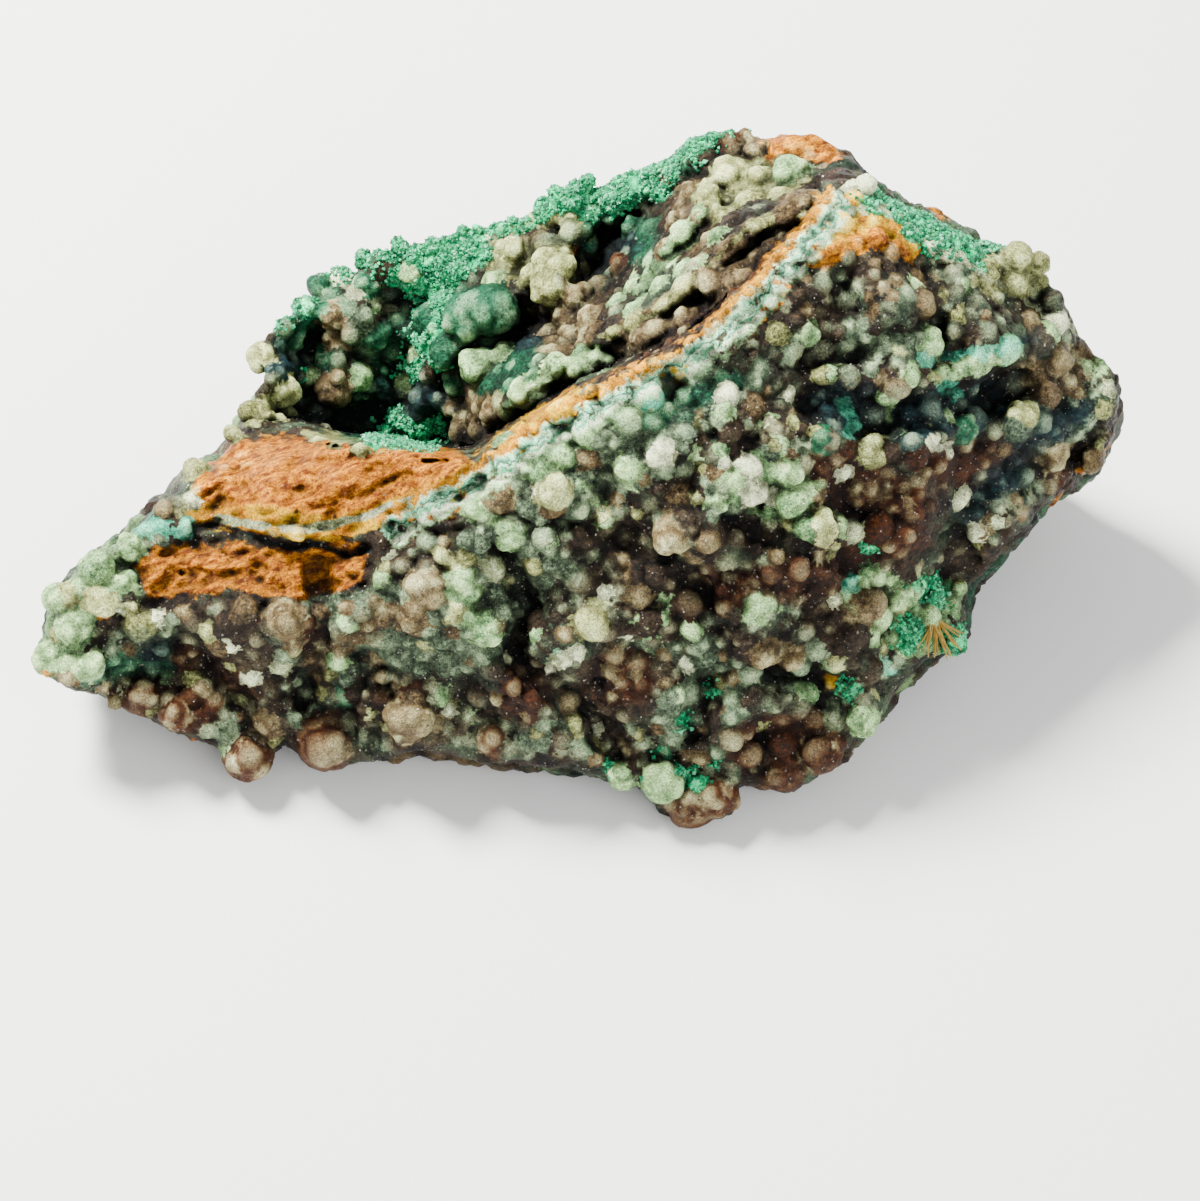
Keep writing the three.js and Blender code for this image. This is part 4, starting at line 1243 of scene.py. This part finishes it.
# Dark and light colour of each mineral, in the order in which they lie over each other
MINERAL_COLOURS = {
    "grey": ("1a2420", "9cae92"),
    "rust": ("1e120c", "704c38"),
    "tan": ("31291f", "9a896c"),
    "mint": ("3c5c46", "bedca8"),
    "cream": ("44462a", "c8cc9a"),
    "teal": ("081e18", "4c8a6c"),
    "limonite": ("8e5632", "f2b468"),
    "ochre": ("b8741a", "ffe07a"),
    "emerald": ("064a2e", "74f6ba"),
    # Painted shadow: the near-black slate laid in the dents and the deep corners of the hollow
    "slate_and_shadow": ("050c0f", "3a585c"),
    "turquoise": ("2a7864", "98e4c6"),
    "white": ("8a9470", "f2f6d8"),
}
SOFT_MINERALS = ("rust", "teal", "slate_and_shadow")

# The veins of the crest from front to back: millimetres behind the crest line, and their colours
CREST_VEINS = [
    (-2.4, "8fae86"), (-1.8, "bfdcb4"), (-1.3, "eef4dc"), (-1.0, "78c49c"), (-0.7, "d4f4d8"),
    (-0.4, "4f7260"), (-0.1, "aceac8"), (0.3, "f0f0c8"), (0.6, "c8923e"), (1.1, "f4bc5c"),
    (1.6, "7a5028"),
]


# The green grains, by their tone
MOSS_COLOURS = [(0.0, "06351f"), (0.4, "1c8a58"), (0.75, "52d092"), (1.0, "a4ecc2")]


def mottling(n, grain):
    """Light and dark from 0 to 1: blotchy on the ground, calmer and by lump on the lumps."""
    tone = n.attribute("tone")
    even = n.attribute("even")
    blotches = n.math("ADD", n.math("MULTIPLY", n.noise(2.4, 5.0), 0.35), n.math("MULTIPLY", grain, 0.65))
    blotches = n.spread(n.math("ADD", blotches, n.math("MULTIPLY", tone, 0.14)), 0.45, 0.7)
    blotches = n.math("MULTIPLY", blotches, n.spread(even, 0, 1, 1, 0))
    calm = n.math("ADD", n.math("MULTIPLY", tone, 0.55), n.spread(grain, 0.38, 0.62, 0.0, 0.6))
    return n.math("ADD", blotches, n.math("MULTIPLY", calm, even))


def bare_ground(n, mottle):
    """Brown and olive druse, on which the minerals lie."""
    olive_share = n.math("ADD", n.noise(5.0, 4.0), n.math("MULTIPLY", n.attribute("tone"), 0.2))
    brown = n.mix(mottle, colour("0f0d0a"), colour("68594a"))
    olive = n.mix(mottle, colour("1c2520"), colour("869a80"))
    return n.mix(n.spread(olive_share, 0.56, 0.75), brown, olive)


def mineral_layers(n, mottle):
    """The minerals one over the other, by the stored fields, each with a ragged edge."""
    streaks = n.noise(0.5, 5.0, 0.7, n.stretched(math.radians(20), (2.6, 1.0, 1.0)))
    pits = n.spread(n.cells(0.7), 0.1, 0.24)
    textures = {
        "limonite": n.math("MULTIPLY", n.spread(streaks, 0.4, 0.62), pits),
        "emerald": n.spread(n.noise(0.8, 4.0, 0.75), 0.42, 0.58),
    }
    edge = n.spread(n.noise(1.0, 4.0, 0.6), 0.3, 0.7, -0.3, 0.3)
    edge = n.math("MULTIPLY", edge, n.spread(n.attribute("even"), 0.0, 1.0, 1.0, 0.3))
    shown = bare_ground(n, mottle)
    for mineral, (dark, light) in MINERAL_COLOURS.items():
        body = n.mix(textures.get(mineral, mottle), colour(dark), colour(light))
        soft = 0.3 if mineral in SOFT_MINERALS else 0.0
        mask = n.spread(n.math("ADD", n.attribute(mineral), edge), -0.05 - soft, 0.2 + soft)
        shown = n.mix(mask, shown, body)
    return shown


def with_crest_veins(n, shown):
    """Thin wavy veins along the crest, broken here and there."""
    waves = n.spread(n.noise(1.5, 4.0), 0.25, 0.75, -0.8, 0.8)
    offset = n.math("ADD", n.attribute("crest"), waves)
    within = n.math("MULTIPLY", n.spread(offset, -2.4, -1.8), n.spread(offset, 1.6, 1.2))
    broken = n.math("MULTIPLY", n.spread(n.noise(1.1, 3.0), 0.37, 0.45), n.attribute("veined"))
    return n.mix(n.math("MULTIPLY", within, broken), shown, n.bands(offset, CREST_VEINS))


def with_painted_light_on_tops(n, shown, grain):
    """Painted light: paler tops on the lumps, most on the light ones."""
    top = n.math("POWER", n.attribute("top"), 1.6)
    pale = n.math("MULTIPLY", top, n.spread(n.attribute("tone"), 0.2, 1.0, 0.0, 0.7))
    pale = n.math("MULTIPLY", pale, n.spread(grain, 0.4, 0.6, 0.6, 1.0))
    return n.mix(pale, shown, colour("d6e0bc"))


def with_painted_shade_and_flecks(n, shown, fine):
    """Painted shade and light: darker in recesses, in creases and at the feet of the lumps, lighter on
    their tops; also fine flecks of the grain.
    """
    near = n.spread(n.attribute("open"), 0.42, 0.78, 0.15, 1.0)
    wide = n.spread(n.attribute("wide"), 0.38, 0.74, 0.3, 1.0)
    painted_crease_shade = n.spread(n.attribute("knob"), 0.55, 0.88, 0.5, 1.1)
    fleck = n.spread(fine, 0.36, 0.64, 0.5, 1.4)
    for factor in (near, wide, painted_crease_shade, fleck, n.attribute("shade")):
        shown = n.mix(1.0, shown, factor, "MULTIPLY")
    return shown


def stone_material():
    """Chalcedony and druse."""
    n = Nodes("stone_minerals")
    grain = n.noise(0.36, 5.0, 0.75)
    fine = n.noise(0.13, 3.0, 0.7)
    shown = with_crest_veins(n, mineral_layers(n, mottling(n, grain)))
    shown = with_painted_shade_and_flecks(n, with_painted_light_on_tops(n, shown, grain), fine)
    # Painted glints: tiny pale specks mixed into the colour
    painted_glints = n.spread(n.cells(0.18, "Color"), 0.9, 0.97, 0.0, 0.35)
    shown = n.mix(painted_glints, shown, colour("d8d8cc"))
    n.feed(n.shader.inputs["Base Color"], n.vivid(shown, 1.15, 1.4, 1.3))
    n.shader.inputs["Specular IOR Level"].default_value = 0.15
    n.feed(n.shader.inputs["Roughness"], n.spread(grain, 0.3, 0.7, 0.3, 0.6))
    bumps = n.bump(n.math("SUBTRACT", 1.0, n.cells(0.5)), 0.2, 0.5)
    bumps = n.bump(grain, 0.3, 0.8, bumps)
    n.feed(n.shader.inputs["Normal"], n.bump(fine, 0.14, 1.0, bumps))
    return n.material


def quartz_material():
    """Small clear to smoky crystal faces."""
    n = Nodes("quartz_druse")
    shade = n.mix(n.attribute("tone"), colour("3c322a"), colour("a8a294"))
    n.feed(n.shader.inputs["Base Color"], shade)
    n.shader.inputs["Roughness"].default_value = 0.15
    return n.material


def moss_material():
    """Bright green, a little darker here and there."""
    n = Nodes("green_grains")
    shade = n.mix(n.noise(0.3), n.bands(n.attribute("tone"), MOSS_COLOURS), colour("17694a"))
    n.feed(n.shader.inputs["Base Color"], n.vivid(shade, 1.1, 1.15, 1.1))
    n.shader.inputs["Roughness"].default_value = 0.6
    return n.material


def needle_material():
    """Brown to gold."""
    n = Nodes("golden_needles")
    n.feed(n.shader.inputs["Base Color"], n.mix(n.noise(0.4), colour("7c5618"), colour("e0bd62")))
    n.shader.inputs["Roughness"].default_value = 0.35
    return n.material


def floor_material():
    n = Nodes("pale_floor")
    n.feed(n.shader.inputs["Base Color"], n.mix(n.noise(400.0), colour("f4f4f2"), colour("f8f8f6")))
    n.shader.inputs["Roughness"].default_value = 0.8
    return n.material


def add_light(name, place, target, size, watts, tint):
    light = bpy.data.lights.new(name, "AREA")
    light.size = size
    light.energy = watts
    light.color = tint
    lamp = bpy.data.objects.new(name, light)
    lamp.location = place
    lamp.rotation_euler = (Vector(place) - Vector(target)).to_track_quat("Z", "Y").to_euler()
    bpy.context.scene.collection.objects.link(lamp)


def add_studio():
    """A pale floor, a key light from behind on the left and a soft one from the front right."""
    half = 1500.0
    depth = -0.2
    corners = [(-half, -half, depth), (half, -half, depth), (half, half, depth), (-half, half, depth)]
    floor = mesh_object("floor", np.array(corners), [(0, 1, 2, 3)])
    floor.data.materials.append(floor_material())
    middle = (0, 0, 0.015)
    add_light("key", (-0.22, 0.2, 0.42), middle, 0.14, 13.0, (1.0, 0.98, 0.95))
    add_light("fill", (0.32, -0.36, 0.3), middle, 0.4, 2.5, (0.96, 0.98, 1.0))
    world = bpy.data.worlds.new("studio")
    world.use_nodes = True
    background = world.node_tree.nodes["Background"]
    background.inputs["Color"].default_value = (1.0, 1.0, 1.0, 1.0)
    background.inputs["Strength"].default_value = 0.8
    bpy.context.scene.world = world


def add_camera():
    """The photograph's viewpoint: 55 degrees above the table, straight in front."""
    lens = bpy.data.cameras.new("camera")
    lens.lens = 85
    lens.sensor_width = 36
    lens.clip_start = 0.01
    camera = bpy.data.objects.new("camera", lens)
    place = (VIEW_CENTRE + AXIS_TOWARD * VIEW_DISTANCE) * METRES
    turn = Matrix((AXIS_ACROSS, AXIS_UP, AXIS_TOWARD)).transposed().to_4x4()
    camera.matrix_world = Matrix.Translation(place) @ turn
    bpy.context.scene.collection.objects.link(camera)
    bpy.context.scene.camera = camera


def finish_piece(piece, material):
    piece.data.materials.append(material)
    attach(piece, "root")


add_camera()
add_studio()

relief = Relief(RELIEF_STEP)
outer_lumps, inner_lumps = all_lumps(relief)
body = stone_solid(relief, outer_lumps, inner_lumps)
stone = ground_piece("stone_body", body, STONE_TRIANGLES, relief, body)
crust = ground_piece("crust", crust_solid(relief, inner_lumps), CRUST_TRIANGLES, relief, body)

minerals_material = stone_material()
finish_piece(stone, minerals_material)
finish_piece(crust, minerals_material)
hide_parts("stone")
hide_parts("hollow_crust")
finish_piece(make_druse(stone), quartz_material())
green = moss_material()
finish_piece(make_moss("rim_moss", stone, RIM_MOSS_COUNT, 82), green)
finish_piece(make_moss("hollow_moss", crust, HOLLOW_MOSS_COUNT, 84), green)
finish_piece(make_needles(relief), needle_material())
